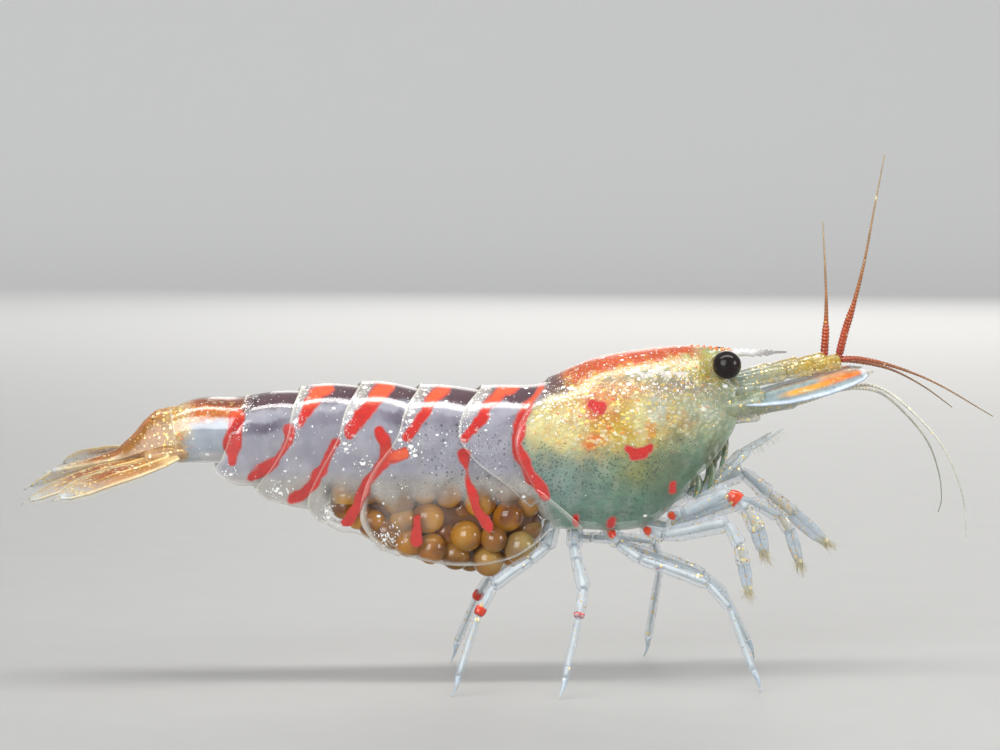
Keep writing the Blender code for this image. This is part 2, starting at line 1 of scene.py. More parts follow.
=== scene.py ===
"""Looks of the berried tiger dwarf shrimp: shells, flesh, eggs, limbs, feelers, bristles and studio.

Lengths in this script are millimetres in the frame's axes (+X head, +Y left, +Z up); MM turns them
into metres when a mesh is made. Side-view places are (X, Z) pairs.
"""
import math

import bmesh
import bpy
import numpy as np
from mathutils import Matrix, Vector


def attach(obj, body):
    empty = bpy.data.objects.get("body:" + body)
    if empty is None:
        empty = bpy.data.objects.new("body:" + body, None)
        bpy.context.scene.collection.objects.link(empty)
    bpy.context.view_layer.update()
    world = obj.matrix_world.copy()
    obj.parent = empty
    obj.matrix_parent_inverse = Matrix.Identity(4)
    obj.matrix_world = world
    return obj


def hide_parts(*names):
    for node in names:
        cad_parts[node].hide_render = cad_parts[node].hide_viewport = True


MM = 0.001
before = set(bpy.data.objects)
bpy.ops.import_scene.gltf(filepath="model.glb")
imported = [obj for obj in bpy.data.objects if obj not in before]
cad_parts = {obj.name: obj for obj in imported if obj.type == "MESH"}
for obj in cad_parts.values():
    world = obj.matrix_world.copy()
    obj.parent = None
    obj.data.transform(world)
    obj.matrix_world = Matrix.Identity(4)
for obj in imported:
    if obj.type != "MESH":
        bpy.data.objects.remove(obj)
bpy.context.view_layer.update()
RNG = np.random.default_rng(11)
LEFT, RIGHT = 1, -1
SIDES = ((RIGHT, "right"), (LEFT, "left"))

# ------------------------------------------------------------------------------------ body lines

BACK_LINE = [(-13.2, 10.3), (-11.9, 10.68), (-10.4, 10.75), (-8.0, 11.15), (-5.6, 11.32), (-3.4, 11.2),
             (-1.1, 11.15), (0.6, 11.25), (1.7, 11.62), (2.6, 11.95), (3.4, 12.22), (4.8, 12.5),
             (6.3, 12.66), (7.4, 12.6), (8.4, 12.5)]
HALF_WIDTH = [(-13.2, 0.8), (-11.9, 1.05), (-10.4, 1.3), (-8.0, 1.62), (-5.6, 1.9), (-3.0, 2.05),
              (0.0, 2.08), (3.4, 2.2), (5.2, 2.08), (6.6, 1.75), (7.6, 1.35), (8.6, 0.95)]
WIDEST_LEVEL = [(-13.2, 9.4), (-10.4, 9.35), (-6.0, 8.9), (-1.0, 8.6), (3.4, 8.5), (6.5, 9.3), (8.6, 10.3)]
MUSCLE_FLOOR = [(-13.0, 8.5), (-10.4, 8.5), (-8.0, 8.3), (-5.0, 8.05), (0.0, 7.9)]
SIDE_PLATE_TUCK = 0.1
LAST_SEGMENT_FLOOR = 8.42

# Plate edges in side view, as (Z, X) pairs from the lower end to the back.
CARAPACE_REAR = [(6.0, 1.4), (6.9, 0.95), (7.8, 0.45), (9.1, -0.1), (10.2, 0.25), (11.4, 1.3)]
EDGE_1_2 = [(6.0, 1.3), (6.7, 0.62), (7.6, -0.35), (8.5, -1.5), (9.4, -2.1), (10.5, -1.8), (11.2, -1.1)]
EDGE_2_3 = [(4.9, -4.2), (5.3, -4.9), (6.0, -5.5), (6.6, -5.65), (8.0, -5.35), (9.4, -4.45),
            (10.5, -4.05), (11.3, -3.4)]
EDGE_3_4 = [(6.2, -7.3), (6.7, -7.75), (7.2, -7.75), (8.0, -7.4), (9.4, -6.65), (10.5, -6.3), (11.4, -5.65)]
EDGE_4_5 = [(7.0, -9.2), (7.4, -9.7), (7.8, -9.5), (8.4, -9.05), (9.4, -8.55), (10.5, -8.3), (11.2, -7.95)]
EDGE_5_6 = [(7.8, -10.9), (8.1, -11.25), (8.6, -11.0), (9.4, -10.7), (10.4, -10.35), (11.0, -9.95)]
ABDOMEN_REAR = [(8.4, -12.75), (10.4, -13.05)]
ABDOMEN_EDGES = [CARAPACE_REAR, EDGE_1_2, EDGE_2_3, EDGE_3_4, EDGE_4_5, EDGE_5_6, ABDOMEN_REAR]
AT_BACK = 99.0            # a level above every plate edge, which reads the edge at the back
SIDE_PLATE_LOWER = {
    1: [(0.0, 6.95), (1.0, 6.8)],
    2: [(0.0, 6.0), (0.12, 5.3), (0.35, 4.72), (0.7, 4.6), (1.0, 4.95)],
    3: [(-0.6, 4.45), (-0.1, 4.75), (0.12, 5.1), (0.28, 5.6), (0.68, 5.87), (1.0, 6.25)],
    4: [(0.0, 6.6), (0.5, 6.78), (1.0, 7.05)],
    5: [(0.0, 7.55), (0.4, 7.55), (0.75, 7.62), (1.0, 7.82)],
}
CARAPACE_FRONT = [(8.1, 7.2), (8.5, 7.5), (9.0, 7.88), (9.7, 8.3), (10.5, 8.48), (11.0, 8.35),
                  (11.15, 8.45), (11.35, 8.0), (11.6, 7.55), (12.0, 7.42), (12.3, 7.6), (12.6, 8.3)]
CARAPACE_LOWER = [(0.0, 6.05), (1.4, 6.0), (4.9, 6.0), (5.6, 6.35), (6.3, 7.0), (7.1, 7.9), (7.6, 8.35)]
CARAPACE_LENGTH = 7.5
EYE_CENTRE = (7.98, 1.3, 12.05)
EYE_RADIUS = 0.55


def value_at(pairs, place):
    """Read a smooth curve through (place, value) pairs, held level beyond its ends."""
    xs, ys = np.array(pairs, float).T
    slopes = np.diff(ys) / np.diff(xs)
    tangents = np.concatenate([slopes[:1], (slopes[1:] + slopes[:-1]) / 2, slopes[-1:]])
    p = np.clip(np.asarray(place, float), xs[0], xs[-1])
    i = np.clip(np.searchsorted(xs, p, side="right") - 1, 0, len(xs) - 2)
    run = xs[i + 1] - xs[i]
    t = (p - xs[i]) / run
    return ((2 * t**3 - 3 * t**2 + 1) * ys[i] + (t**3 - 2 * t**2 + t) * run * tangents[i]
            + (3 * t**2 - 2 * t**3) * ys[i + 1] + (t**3 - t**2) * run * tangents[i + 1])


def ramp(low, high, value):
    """Smooth step from 0 at `low` to 1 at `high`; `low` may be the greater."""
    t = np.clip((np.asarray(value, float) - low) / (high - low), 0, 1)
    return t * t * (3 - 2 * t)


def read_line(pairs, place):
    """Read straight stretches between (place, value) pairs."""
    return np.interp(place, *np.array(pairs).T)


def mix(a, b, share):
    return a + (b - a) * share


def direction(vector):
    return vector / np.linalg.norm(vector)


def mirrored(points, side):
    """Points given for the left side, on the side asked for."""
    return np.array(points, float) * (1, side, 1)


def half_width_at(x, z, top):
    """Half width of the body: an oval crown down to its widest level, then a slight tuck."""
    widest = value_at(WIDEST_LEVEL, x)
    width = value_at(HALF_WIDTH, x)
    rise = np.clip((z - widest) / (top - widest), 0, 1)
    crown = width * (1 - rise**2.2) ** 0.55
    side = width * (1 - SIDE_PLATE_TUCK * ((widest - z) / 4) ** 2)
    between_eyes = ramp(6.9, 7.7, x) * ramp(11.2, 11.75, z)
    return np.where(z >= widest, crown, side) * (1 - 0.5 * between_eyes)


# ----------------------------------------------------------------------------------- mesh tools

def make_object(name, points, faces, material, attributes=None):
    """Object in metres from points in millimetres; an attribute is one value or one for each point."""
    data = bpy.data.meshes.new(name)
    data.from_pydata((np.asarray(points, float) * MM).tolist(), [], faces)
    for key, values in (attributes or {}).items():
        values = np.asarray(values, np.float32)
        if key == "tint":
            colours = np.ones((len(points), 4), np.float32)
            colours[:, :3] = values
            data.attributes.new(key, "FLOAT_COLOR", "POINT").data.foreach_set("color", colours.ravel())
        else:
            whole = np.broadcast_to(values.ravel(), len(points)).copy()
            data.attributes.new(key, "FLOAT", "POINT").data.foreach_set("value", whole)
    data.validate()
    data.shade_smooth()
    data.materials.append(material)
    item = bpy.data.objects.new(name, data)
    bpy.context.scene.collection.objects.link(item)
    return item


def finish_piece(item, slot, *nodes):
    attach(item, "root")
    if nodes:
        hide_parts(*nodes)
    return item


def thicken(item, thickness, offset=-1):
    modifier = item.modifiers.new("thickness", "SOLIDIFY")
    modifier.thickness = thickness * MM
    modifier.offset = offset
    return item


def grid_faces(rows, columns, wrap=False):
    """Quads of a grid of points, row by row; `wrap` closes each row on itself."""
    faces = []
    for i in range(rows - 1):
        for j in range(columns if wrap else columns - 1):
            k = (j + 1) % columns
            a, b = i * columns, (i + 1) * columns
            faces.append((a + j, a + k, b + k, b + j))
    return faces


def closed_faces(rings, sides):
    """Faces of rings of points, closed on two more points: the first end's, then the last's."""
    first, base = rings * sides, (rings - 1) * sides
    faces = grid_faces(rings, sides, wrap=True)
    faces += [(first, (j + 1) % sides, j) for j in range(sides)]
    return faces + [(first + 1, base + j, base + (j + 1) % sides) for j in range(sides)]


def normals_of(grid):
    """Unit normals of a grid of points (rows, columns, 3)."""
    normal = np.cross(np.gradient(grid, axis=0), np.gradient(grid, axis=1))
    return normal / np.maximum(np.linalg.norm(normal, axis=2, keepdims=True), 1e-9)


def unit_ball(subdivisions):
    """Points and triangles of a round ball of radius 1."""
    mesh = bmesh.new()
    bmesh.ops.create_icosphere(mesh, subdivisions=subdivisions, radius=1.0)
    points = np.array([v.co for v in mesh.verts])
    triangles = [tuple(v.index for v in f.verts) for f in mesh.faces]
    mesh.free()
    return points, triangles


def smooth_path(stations, steps):
    """Catmull-Rom curve through the stations, with `steps` stretches between each two."""
    p = np.array(stations, float)
    p = np.vstack([2 * p[0] - p[1], p, 2 * p[-1] - p[-2]])
    path = []
    for i in range(1, len(p) - 2):
        for t in np.arange(steps) / steps:
            path.append(0.5 * (2 * p[i] + (p[i + 1] - p[i - 1]) * t
                               + (2 * p[i - 1] - 5 * p[i] + 4 * p[i + 1] - p[i + 2]) * t * t
                               + (3 * p[i] - p[i - 1] - 3 * p[i + 1] + p[i + 2]) * t**3))
    path.append(p[-2])
    return np.array(path)


def even_path(path, count=0, pitch=1.0):
    """The path with `count` points, or one every `pitch`, at even lengths; also gives these lengths."""
    run = np.concatenate([[0], np.cumsum(np.linalg.norm(np.diff(path, axis=0), axis=1))])
    at = np.linspace(0, run[-1], count or int(run[-1] / pitch))
    return np.column_stack([np.interp(at, run, values) for values in path.T]), at


def frames_along(centres, lean):
    """Two unit vectors square to a path at each of its points, the first one nearest to `lean`."""
    along = np.gradient(centres, axis=0)
    along /= np.linalg.norm(along, axis=1, keepdims=True)
    across = np.zeros_like(along)
    current = np.array(lean, float)
    for i, way in enumerate(along):
        current = direction(current - way * np.dot(way, current))
        across[i] = current
    return across, np.cross(along, across)


def tube(centres, wide, high, lean, sides):
    """Points and faces of a tube of elliptical section; its ends close on a point."""
    count = len(centres)
    wide = np.broadcast_to(wide, count)[:, None, None]
    high = np.broadcast_to(high, count)[:, None, None]
    across, upright = frames_along(centres, lean)
    turn = 2 * np.pi * np.arange(sides) / sides
    ring = (across[:, None] * wide * np.cos(turn)[None, :, None]
            + upright[:, None] * high * np.sin(turn)[None, :, None])
    points = (centres[:, None] + ring).reshape(-1, 3)
    return np.vstack([points, centres[0], centres[-1]]), closed_faces(count, sides)


def joined(parts):
    """Join (points, faces, attributes) parts into one."""
    faces, start = [], 0
    for points, own_faces, _ in parts:
        faces += [tuple(i + start for i in face) for face in own_faces]
        start += len(points)
    attributes = {key: np.concatenate([np.broadcast_to(marks[key], (len(points), *np.shape(marks[key])[1:]))
                                       for points, _, marks in parts]) for key in parts[0][2]}
    return np.vstack([points for points, _, _ in parts]), faces, attributes


# ---------------------------------------------------------------------------- camera and studio

CAMERA_TARGET = (-0.53, 0.0, 11.62)
CAMERA_AZIMUTH, CAMERA_ELEVATION = -4.0, 4.0
LENS, SENSOR = 150.0, 36.0
FRAME_WIDTH = 38.0        # what the picture's width spans at the animal
LIGHT_AIM = (0, 0, 9)
# Soft boxes: place, (width, height), power, colour.
LIGHTS = {
    "strip_overhead": ((0, -50, 260), (54, 400), 0.6, (1.0, 0.99, 0.97)),
    "fill_camera_side": ((-150, -250, 130), (200, 200), 0.6, (0.96, 0.98, 1.0)),
    "rim_behind": ((60, 240, 110), (160, 160), 0.16, (1.0, 0.97, 0.93)),
    "side_head": ((250, -120, 90), (90, 90), 0.2, (1, 1, 1)),
}
FLOOR_NEAR, FLOOR_FAR, FLOOR_HALF_WIDTH = -900, 320, 1500
BACKDROP_BEND, BACKDROP_TOP = 260, 900


def place_in_studio(data, place, way, up):
    """Object of a camera or light at `place`, looking along `way`."""
    item = bpy.data.objects.new(data.name, data)
    item.location = place * MM
    item.rotation_mode = "QUATERNION"
    item.rotation_quaternion = way.to_track_quat("-Z", up)
    bpy.context.scene.collection.objects.link(item)
    return item


def build_camera():
    azimuth, elevation = math.radians(CAMERA_AZIMUTH), math.radians(CAMERA_ELEVATION)
    back = Vector((math.sin(azimuth) * math.cos(elevation), -math.cos(azimuth) * math.cos(elevation),
                   math.sin(elevation)))
    data = bpy.data.cameras.new("camera")
    data.lens, data.sensor_width = LENS, SENSOR
    data.clip_start, data.clip_end = 5 * MM, 5.0
    place = Vector(CAMERA_TARGET) + back * (FRAME_WIDTH * LENS / SENSOR)
    bpy.context.scene.camera = place_in_studio(data, place, -back, "Y")


def build_studio():
    for name, (place, size, power, colour) in LIGHTS.items():
        data = bpy.data.lights.new(name, "AREA")
        data.shape = "RECTANGLE"
        data.size, data.size_y = size[0] * MM, size[1] * MM
        data.energy, data.color = power, colour
        place_in_studio(data, Vector(place), Vector(LIGHT_AIM) - Vector(place), "X")
    world = bpy.data.worlds.new("studio_air")
    world.use_nodes = True
    air = world.node_tree.nodes["Background"].inputs
    air["Color"].default_value, air["Strength"].default_value = (0.88, 0.89, 0.9, 1), 0.54
    bpy.context.scene.world = world
    bpy.context.scene.view_settings.view_transform = "Standard"


def build_floor():
    """Pale floor that curves up into a backdrop well behind the animal."""
    look = Look("pale_floor")
    away = look.node("ShaderNodeSeparateXYZ", {0: look.place}, out=1)
    near = look.mix(look.noise(0.35, detail=4), (0.36, 0.36, 0.354), (0.39, 0.389, 0.382))
    look.set({"Base Color": look.mix(look.step(away, 30, 420), near, (0.88, 0.88, 0.874)),
              "Roughness": 0.62, "Normal": look.bump(look.noise(5.0), 0.15, 0.004)})
    bend = [(FLOOR_FAR + BACKDROP_BEND * math.sin(a), BACKDROP_BEND - BACKDROP_BEND * math.cos(a))
            for a in np.linspace(0.08, math.pi / 2, 24)]
    profile = [(FLOOR_NEAR, 0), (FLOOR_FAR, 0), *bend, (FLOOR_FAR + BACKDROP_BEND, BACKDROP_TOP)]
    points = [(x, y, z) for y, z in profile for x in (-FLOOR_HALF_WIDTH, FLOOR_HALF_WIDTH)]
    floor = make_object("floor", points, grid_faces(len(profile), 2), look.material)


# ------------------------------------------------------------------------------------ materials

def tone(red, green, blue):
    """Linear colour from the usual 0 to 255 screen values."""
    return np.array([((c / 255 + 0.055) / 1.055) ** 2.4 if c > 10 else c / 255 / 12.92
                     for c in (red, green, blue)])


class Look:
    """One procedural material, built node by node; sockets, numbers and colours mix freely."""

    def __init__(self, name):
        self.material = bpy.data.materials.new(name)
        self.material.use_nodes = True
        self.tree = self.material.node_tree
        place = self.node("ShaderNodeTexCoord", out="Object")
        self.place = self.node("ShaderNodeVectorMath", {0: place, 3: 1 / MM}, operation="SCALE")

    def plug(self, sockets, values):
        for key, value in values.items():
            if isinstance(value, bpy.types.NodeSocket):
                self.tree.links.new(value, sockets[key])
            else:
                sockets[key].default_value = (*value, 1) if sockets[key].type == "RGBA" else value

    def node(self, kind, values=None, out=0, **settings):
        item = self.tree.nodes.new(kind)
        for key, value in settings.items():
            setattr(item, key, value)
        self.plug(item.inputs, values or {})
        return item.outputs[out]

    def set(self, values):
        """Give the shader its values."""
        self.plug(self.tree.nodes["Principled BSDF"].inputs, values)

    def read(self, name):
        out = "Color" if name == "tint" else "Fac"
        return self.node("ShaderNodeAttribute", out=out, attribute_name=name)

    def calc(self, operation, *values):
        return self.node("ShaderNodeMath", dict(enumerate(values)), operation=operation)

    def times(self, a, b):
        return self.calc("MULTIPLY", a, b)

    def plus(self, base, share, value):
        """base + share * value."""
        return self.calc("MULTIPLY_ADD", value, share, base)

    def greatest(self, *values):
        top = values[0]
        for value in values[1:]:
            top = self.calc("MAXIMUM", top, value)
        return top

    def step(self, value, low, high, bottom=0.0, top=1.0):
        """Smooth step of a value; `low` gives `bottom` and `high` gives `top`."""
        if low > high:
            low, high, bottom, top = high, low, top, bottom
        return self.node("ShaderNodeMapRange", {0: value, 1: low, 2: high, 3: bottom, 4: top},
                         interpolation_type="SMOOTHSTEP")

    def mix(self, share, a, b, blend="MIX"):
        return self.node("ShaderNodeMix", {0: share, 6: a, 7: b}, out=2, data_type="RGBA", blend_type=blend)

    def clouded(self, cloud, low, high, shade):
        """The painted tint, multiplied by `shade` where the cloud is below `low`."""
        tint = self.read("tint")
        return self.mix(self.step(cloud, low, high), self.mix(1.0, tint, shade, "MULTIPLY"), tint)

    def noise(self, scale, detail=3.0, stretch=(1, 1, 1)):
        place = self.node("ShaderNodeVectorMath", {0: self.place, 1: stretch}, operation="MULTIPLY")
        return self.node("ShaderNodeTexNoise", {"Vector": place, "Scale": scale, "Detail": detail})

    def edge(self, most):
        """How much a thin clear wall shows where it is seen edge on, up to `most`."""
        facing = self.node("ShaderNodeLayerWeight", {"Blend": 0.5}, out="Facing")
        return self.step(facing, 0.55, 1.0, 0.0, most)

    def cells(self, scale, stretch=(1, 1, 1), turn=0.0):
        """Patchwork of tiny cells: two random numbers of each cell, and how far out a point lies in it."""
        place = self.node("ShaderNodeMapping",
                          {"Vector": self.place, "Rotation": (0, turn, 0), "Scale": stretch})
        cells = self.node("ShaderNodeTexVoronoi", {"Vector": place, "Scale": scale}).node.outputs
        parts = self.node("ShaderNodeSeparateColor", {0: cells["Color"]}).node.outputs
        return parts[0], parts[1], cells["Distance"]

    def flecks(self, scale, density, size, stretch=(1, 1, 1), turn=0.0):
        """Mask of round grains: about `density` of the cells hold one, `size` of a cell across."""
        pick, share, far = self.cells(scale, stretch, turn)
        near = self.calc("SUBTRACT", self.plus(size * 0.5, size * 0.6, share), far)
        return self.times(self.calc("LESS_THAN", pick, density), self.step(near, 0.0, size * 0.35))

    def grit(self, scale, strength, over, stretch=(1, 1, 1), turn=0.0):
        """Lay gold, yellow, cream and orange grains over a colour; also gives where they lie."""
        pick, hue, far = self.cells(scale, stretch, turn)
        grain = self.mix(self.step(hue, 0.15, 0.45), tone(246, 184, 60), tone(255, 236, 120))
        grain = self.mix(self.step(hue, 0.45, 0.7), grain, tone(255, 251, 222))
        grain = self.mix(self.step(hue, 0.88, 0.92), grain, tone(240, 104, 46))
        seam = self.times(self.times(self.step(far, 0.35, 0.65), strength), 0.2)
        over = self.mix(seam, over, tone(140, 104, 52))
        kept = self.times(self.times(self.step(pick, 0.42, 0.5), self.step(far, 0.52, 0.3)), strength)
        return self.mix(kept, over, grain), kept

    def bump(self, height, strength, distance):
        return self.node("ShaderNodeBump",
                         {"Strength": strength, "Distance": distance * MM, "Height": height})


def red_of_stripes(look):
    """Mottled scarlet that turns orange towards the back."""
    mottle = look.noise(4.0, detail=4)
    deep = look.mix(mottle, tone(164, 10, 2), tone(224, 28, 8))
    orange = look.mix(mottle, tone(214, 74, 34), tone(240, 98, 44))
    return look.mix(look.read("orange"), deep, orange)


def soft_inside(weight, radius, depth):
    """Shader values of a body that light enters."""
    return {"Subsurface Weight": weight, "Subsurface Radius": radius, "Subsurface Scale": depth * MM}


def shell_look(name, gloss=0.7, grain=0.14, haze=0.0):
    """Clear chitin with milky tints, red bands, brown dots and mirror-like gold and white grains."""
    look = Look(name)
    mottle, fine = look.noise(1.6, detail=5), look.noise(9.0)
    ragged = look.plus(look.read("stripe"), -0.2, look.noise(3.2, detail=5))
    stripe, beyond = look.step(ragged, -0.06, -0.12), look.step(ragged, -0.07, -0.01)
    density, spark = look.read("dots"), look.read("spark")
    dots = look.greatest(look.flecks(5.2, density, 0.34), look.flecks(8.0, density, 0.36),
                         look.flecks(12.0, density, 0.4))
    white = look.greatest(look.flecks(4.6, spark, 0.5, (0.8, 1.0, 1.25), -0.8),
                          look.flecks(8.5, spark, 0.42, (1.2, 1.0, 0.8), 0.7),
                          look.flecks(13.0, look.times(spark, 1.4), 0.42))
    white = look.times(white, look.step(beyond, 0.0, 1.0, 0.3, 1.0))
    rim = look.times(look.times(look.read("rim"), look.step(beyond, 0.0, 1.0, 0.4, 1.0)), 0.8)
    strength = look.times(look.read("gold"), look.step(mottle, 0.25, 0.5, 0.35, 1.0))
    colour = look.clouded(mottle, 0.35, 0.68, (0.8, 0.79, 0.81))
    colour = look.mix(look.times(dots, 0.62), colour, tone(40, 50, 56))
    colour, coarse = look.grit(6.0, strength, colour, stretch=(0.75, 1.0, 1.15), turn=0.6)
    colour, small = look.grit(11.0, look.times(strength, 0.8), colour, turn=0.9)
    gold = look.times(look.greatest(coarse, small), beyond)
    colour = look.mix(look.step(ragged, 0.0, -0.08), colour, tone(226, 92, 84))
    colour = look.mix(stripe, colour, red_of_stripes(look))
    colour = look.mix(white, colour, tone(250, 250, 246))
    colour = look.mix(rim, colour, tone(240, 236, 222))
    cover = look.plus(look.read("cover"), 0.06, fine)
    alpha = look.greatest(cover, look.edge(0.5), look.times(stripe, 0.97), gold, white, rim,
                          look.times(dots, 0.6))
    rough = look.step(fine, 0.3, 0.75, 0.07 + haze, 0.14 + haze)
    rough = look.plus(look.plus(rough, 0.05, stripe), 0.1, gold)
    look.set({"Base Color": colour, "Alpha": alpha, "Roughness": rough, "IOR": 1.62,
              "Specular IOR Level": 0.75, "Metallic": look.times(gold, 0.2), "Coat Weight": gloss,
              "Coat Roughness": 0.05,
              "Normal": look.bump(look.plus(fine, 0.8, gold), grain, 0.03)})
    return look.material


def flesh_look():
    """Milky muscle and organs seen through the shell."""
    look = Look("flesh_under_shell")
    strands, fine = look.noise(2.2, detail=5, stretch=(0.8, 1.2, 1.6)), look.noise(11.0)
    colour = look.clouded(strands, 0.32, 0.66, (0.74, 0.72, 0.73))
    strength = look.times(look.read("gold"), 0.8)
    colour, _ = look.grit(5.0, strength, colour, stretch=(0.7, 1.0, 1.2), turn=-0.5)
    look.set({"Base Color": colour, "Roughness": look.step(fine, 0.3, 0.7, 0.32, 0.5),
              "Normal": look.bump(look.plus(strands, 0.4, fine), 0.5, 0.08),
              **soft_inside(0.35, (1.0, 0.6, 0.5), 0.25)})
    return look.material


def egg_look():
    """Amber egg: a yolk that fills one side, a paler clear cap and a glassy skin, with a painted glow
    underneath and a painted highlight on top.
    """
    look = Look("amber_eggs")
    mottle, fine = look.noise(1.3, detail=2), look.noise(9.0, detail=2)
    pale, low = look.read("pale"), look.read("low")
    amber = look.mix(look.step(mottle, 0.35, 0.65), tone(140, 74, 0), tone(206, 124, 0))
    cap = look.mix(pale, tone(240, 160, 0), tone(244, 216, 120))
    colour = look.mix(look.step(look.plus(look.read("yolk"), 0.5, mottle), -0.3, 0.6), cap, amber)
    # Paleness: partly paler eggs, partly a painted reflection.
    colour = look.mix(look.times(pale, 0.55), colour, tone(236, 210, 140))
    # Painted light on each egg: a yellow glow on its underside, as if lit through, and a painted highlight
    # that pales its top.
    colour = look.mix(look.times(look.step(low, 0.2, 0.95), 0.5), colour, tone(250, 186, 20))
    colour = look.mix(look.times(look.step(low, -0.2, -0.95), 0.1), colour, tone(226, 190, 130))
    colour = look.mix(look.read("shade"), colour, tone(84, 42, 0))
    look.set({"Base Color": colour, "Roughness": look.step(fine, 0.3, 0.7, 0.1, 0.18), "IOR": 1.5,
              "Transmission Weight": 0.3, "Coat Weight": 0.6, "Coat Roughness": 0.03,
              "Normal": look.bump(fine, 0.05, 0.02), **soft_inside(0.12, (1.0, 0.6, 0.1), 0.3)})
    return look.material


def glass_look(name, core=False):
    """Bluish-white glassy cuticle of limbs and blades, with red bands and gold grains."""
    look = Look(name)
    cloud, fine = look.noise(2.4, detail=4), look.noise(12.0)
    band = look.step(look.plus(look.read("stripe"), -0.12, look.noise(8.0)), 0.0, -0.08)
    dots = look.times(look.flecks(7.0, look.read("dots"), 0.36), 0.7)
    density = look.read("gold")
    gold = look.greatest(look.flecks(6.0, density, 0.6), look.flecks(11.0, density, 0.6))
    colour = look.clouded(cloud, 0.34, 0.66, (0.8, 0.83, 0.86))
    colour = look.mix(band, colour, red_of_stripes(look))
    colour = look.mix(dots, colour, tone(74, 52, 44))
    colour = look.mix(gold, colour, look.mix(look.cells(6.0)[1], tone(240, 176, 30), tone(255, 244, 190)))
    if core:
        look.set({"Base Color": colour, "Roughness": 0.4, "Normal": look.bump(cloud, 0.4, 0.04),
                  **soft_inside(0.3, (1.0, 0.8, 0.7), 0.2)})
        return look.material
    cover = look.plus(look.read("cover"), 0.12, look.step(cloud, 0.35, 0.7))
    look.set({"Base Color": colour, "Roughness": look.step(fine, 0.3, 0.7, 0.1, 0.22), "IOR": 1.6,
              "Alpha": look.greatest(cover, look.edge(0.8), look.times(band, 0.95), gold, dots),
              "Metallic": look.times(gold, 0.5), "Coat Weight": 0.3, "Coat Roughness": 0.06,
              "Normal": look.bump(look.plus(cloud, 0.5, fine), 0.35, 0.04)})
    return look.material


def eye_look():
    look = Look("black_cornea")
    facets = look.node("ShaderNodeTexVoronoi", {"Vector": look.place, "Scale": 16.0}, out="Distance")
    colour = look.mix(look.noise(3.0), (0.004, 0.003, 0.004), (0.018, 0.010, 0.008))
    look.set({"Base Color": colour, "Roughness": look.step(look.noise(9.0), 0.3, 0.7, 0.12, 0.22),
              "IOR": 1.45, "Specular IOR Level": 0.25, "Coat Weight": 0.2, "Coat Roughness": 0.05,
              "Normal": look.bump(facets, 0.25, 0.012)})
    return look.material


def bristle_look():
    look = Look("fine_bristles")
    colour = look.mix(look.noise(4.0), look.read("tint"), tone(236, 232, 218))
    look.set({"Base Color": colour, "Alpha": 0.72, "Roughness": 0.3, "IOR": 1.55})
    return look.material


# ------------------------------------------------------------------------------- colour and marks

def line_distance(x, z, stations):
    """Signed distance to a tapering line of (X, Z, half width) stations; inside is negative."""
    best = np.full(np.shape(x), 1e3)
    for (ax, az, aw), (bx, bz, bw) in zip(stations, stations[1:]):
        run_x, run_z = bx - ax, bz - az
        t = np.clip(((x - ax) * run_x + (z - az) * run_z) / (run_x**2 + run_z**2), 0, 1)
        best = np.minimum(best, np.hypot(x - ax - run_x * t, z - az - run_z * t) - (aw + (bw - aw) * t))
    return best


RED_MARKS = [
    [(1.06, 11.25, 0.06), (0.6, 10.8, 0.1), (0.2, 10.26, 0.15), (0.04, 9.7, 0.17), (-0.04, 9.12, 0.18),
     (0.11, 8.66, 0.17), (0.38, 8.17, 0.17), (0.72, 7.68, 0.18), (1.03, 7.22, 0.17)],
    [(0.08, 11.25, 0.08), (-0.5, 11.06, 0.13), (-1.0, 10.64, 0.15), (-1.37, 10.1, 0.16),
     (-1.94, 9.4, 0.15)],
    [(-2.55, 11.25, 0.16), (-2.96, 11.0, 0.18), (-3.27, 10.64, 0.17), (-3.65, 10.1, 0.17),
     (-4.18, 9.4, 0.15)],
    [(-4.7, 11.35, 0.18), (-5.1, 11.1, 0.23), (-5.4, 10.7, 0.19), (-5.85, 10.2, 0.21), (-6.27, 9.6, 0.21)],
    [(-7.07, 11.25, 0.16), (-7.5, 11.0, 0.22), (-7.75, 10.64, 0.16), (-8.0, 10.2, 0.12), (-8.1, 9.9, 0.06)],
    [(-2.06, 8.85, 0.13), (-2.0, 8.6, 0.13), (-1.94, 8.25, 0.0), (-1.84, 7.6, 0.12), (-1.6, 7.0, 0.15),
     (-1.36, 6.45, 0.15), (-1.08, 5.95, 0.17)],
    [(-5.17, 9.75, 0.14), (-5.0, 9.15, 0.2), (-4.9, 8.7, 0.27), (-5.3, 8.2, 0.12), (-5.66, 7.65, 0.15),
     (-5.97, 7.0, 0.17), (-6.2, 6.5, 0.19), (-6.4, 6.2, 0.2)],
    [(-4.9, 8.6, 0.14), (-4.26, 8.85, 0.12)],
    [(-3.8, 6.35, 0.15), (-3.78, 5.5, 0.2)],
    [(-6.8, 9.25, 0.13), (-7.0, 8.9, 0.1), (-7.26, 8.3, 0.15), (-7.64, 7.8, 0.17), (-8.0, 7.35, 0.17),
     (-8.4, 7.05, 0.15)],
    [(-8.6, 9.7, 0.18), (-8.6, 9.3, 0.14), (-8.8, 8.95, 0.07), (-9.1, 8.55, 0.12), (-9.6, 8.17, 0.17),
     (-10.0, 7.85, 0.14)],
    [(-10.5, 10.15, 0.2), (-10.7, 9.1, 0.28), (-10.68, 8.5, 0.12)],
    [(2.92, 10.58, 0.19), (3.06, 10.52, 0.19)],
    [(4.2, 8.98, 0.13), (4.36, 8.8, 0.2), (4.64, 8.75, 0.19), (4.92, 8.92, 0.14), (5.02, 9.08, 0.07)],
    [(5.8, 7.55, 0.1), (5.86, 7.35, 0.12)],
    [(3.52, 6.3, 0.1), (3.5, 6.05, 0.1)],
    [(2.2, 6.36, 0.07), (2.22, 6.2, 0.09)],
]

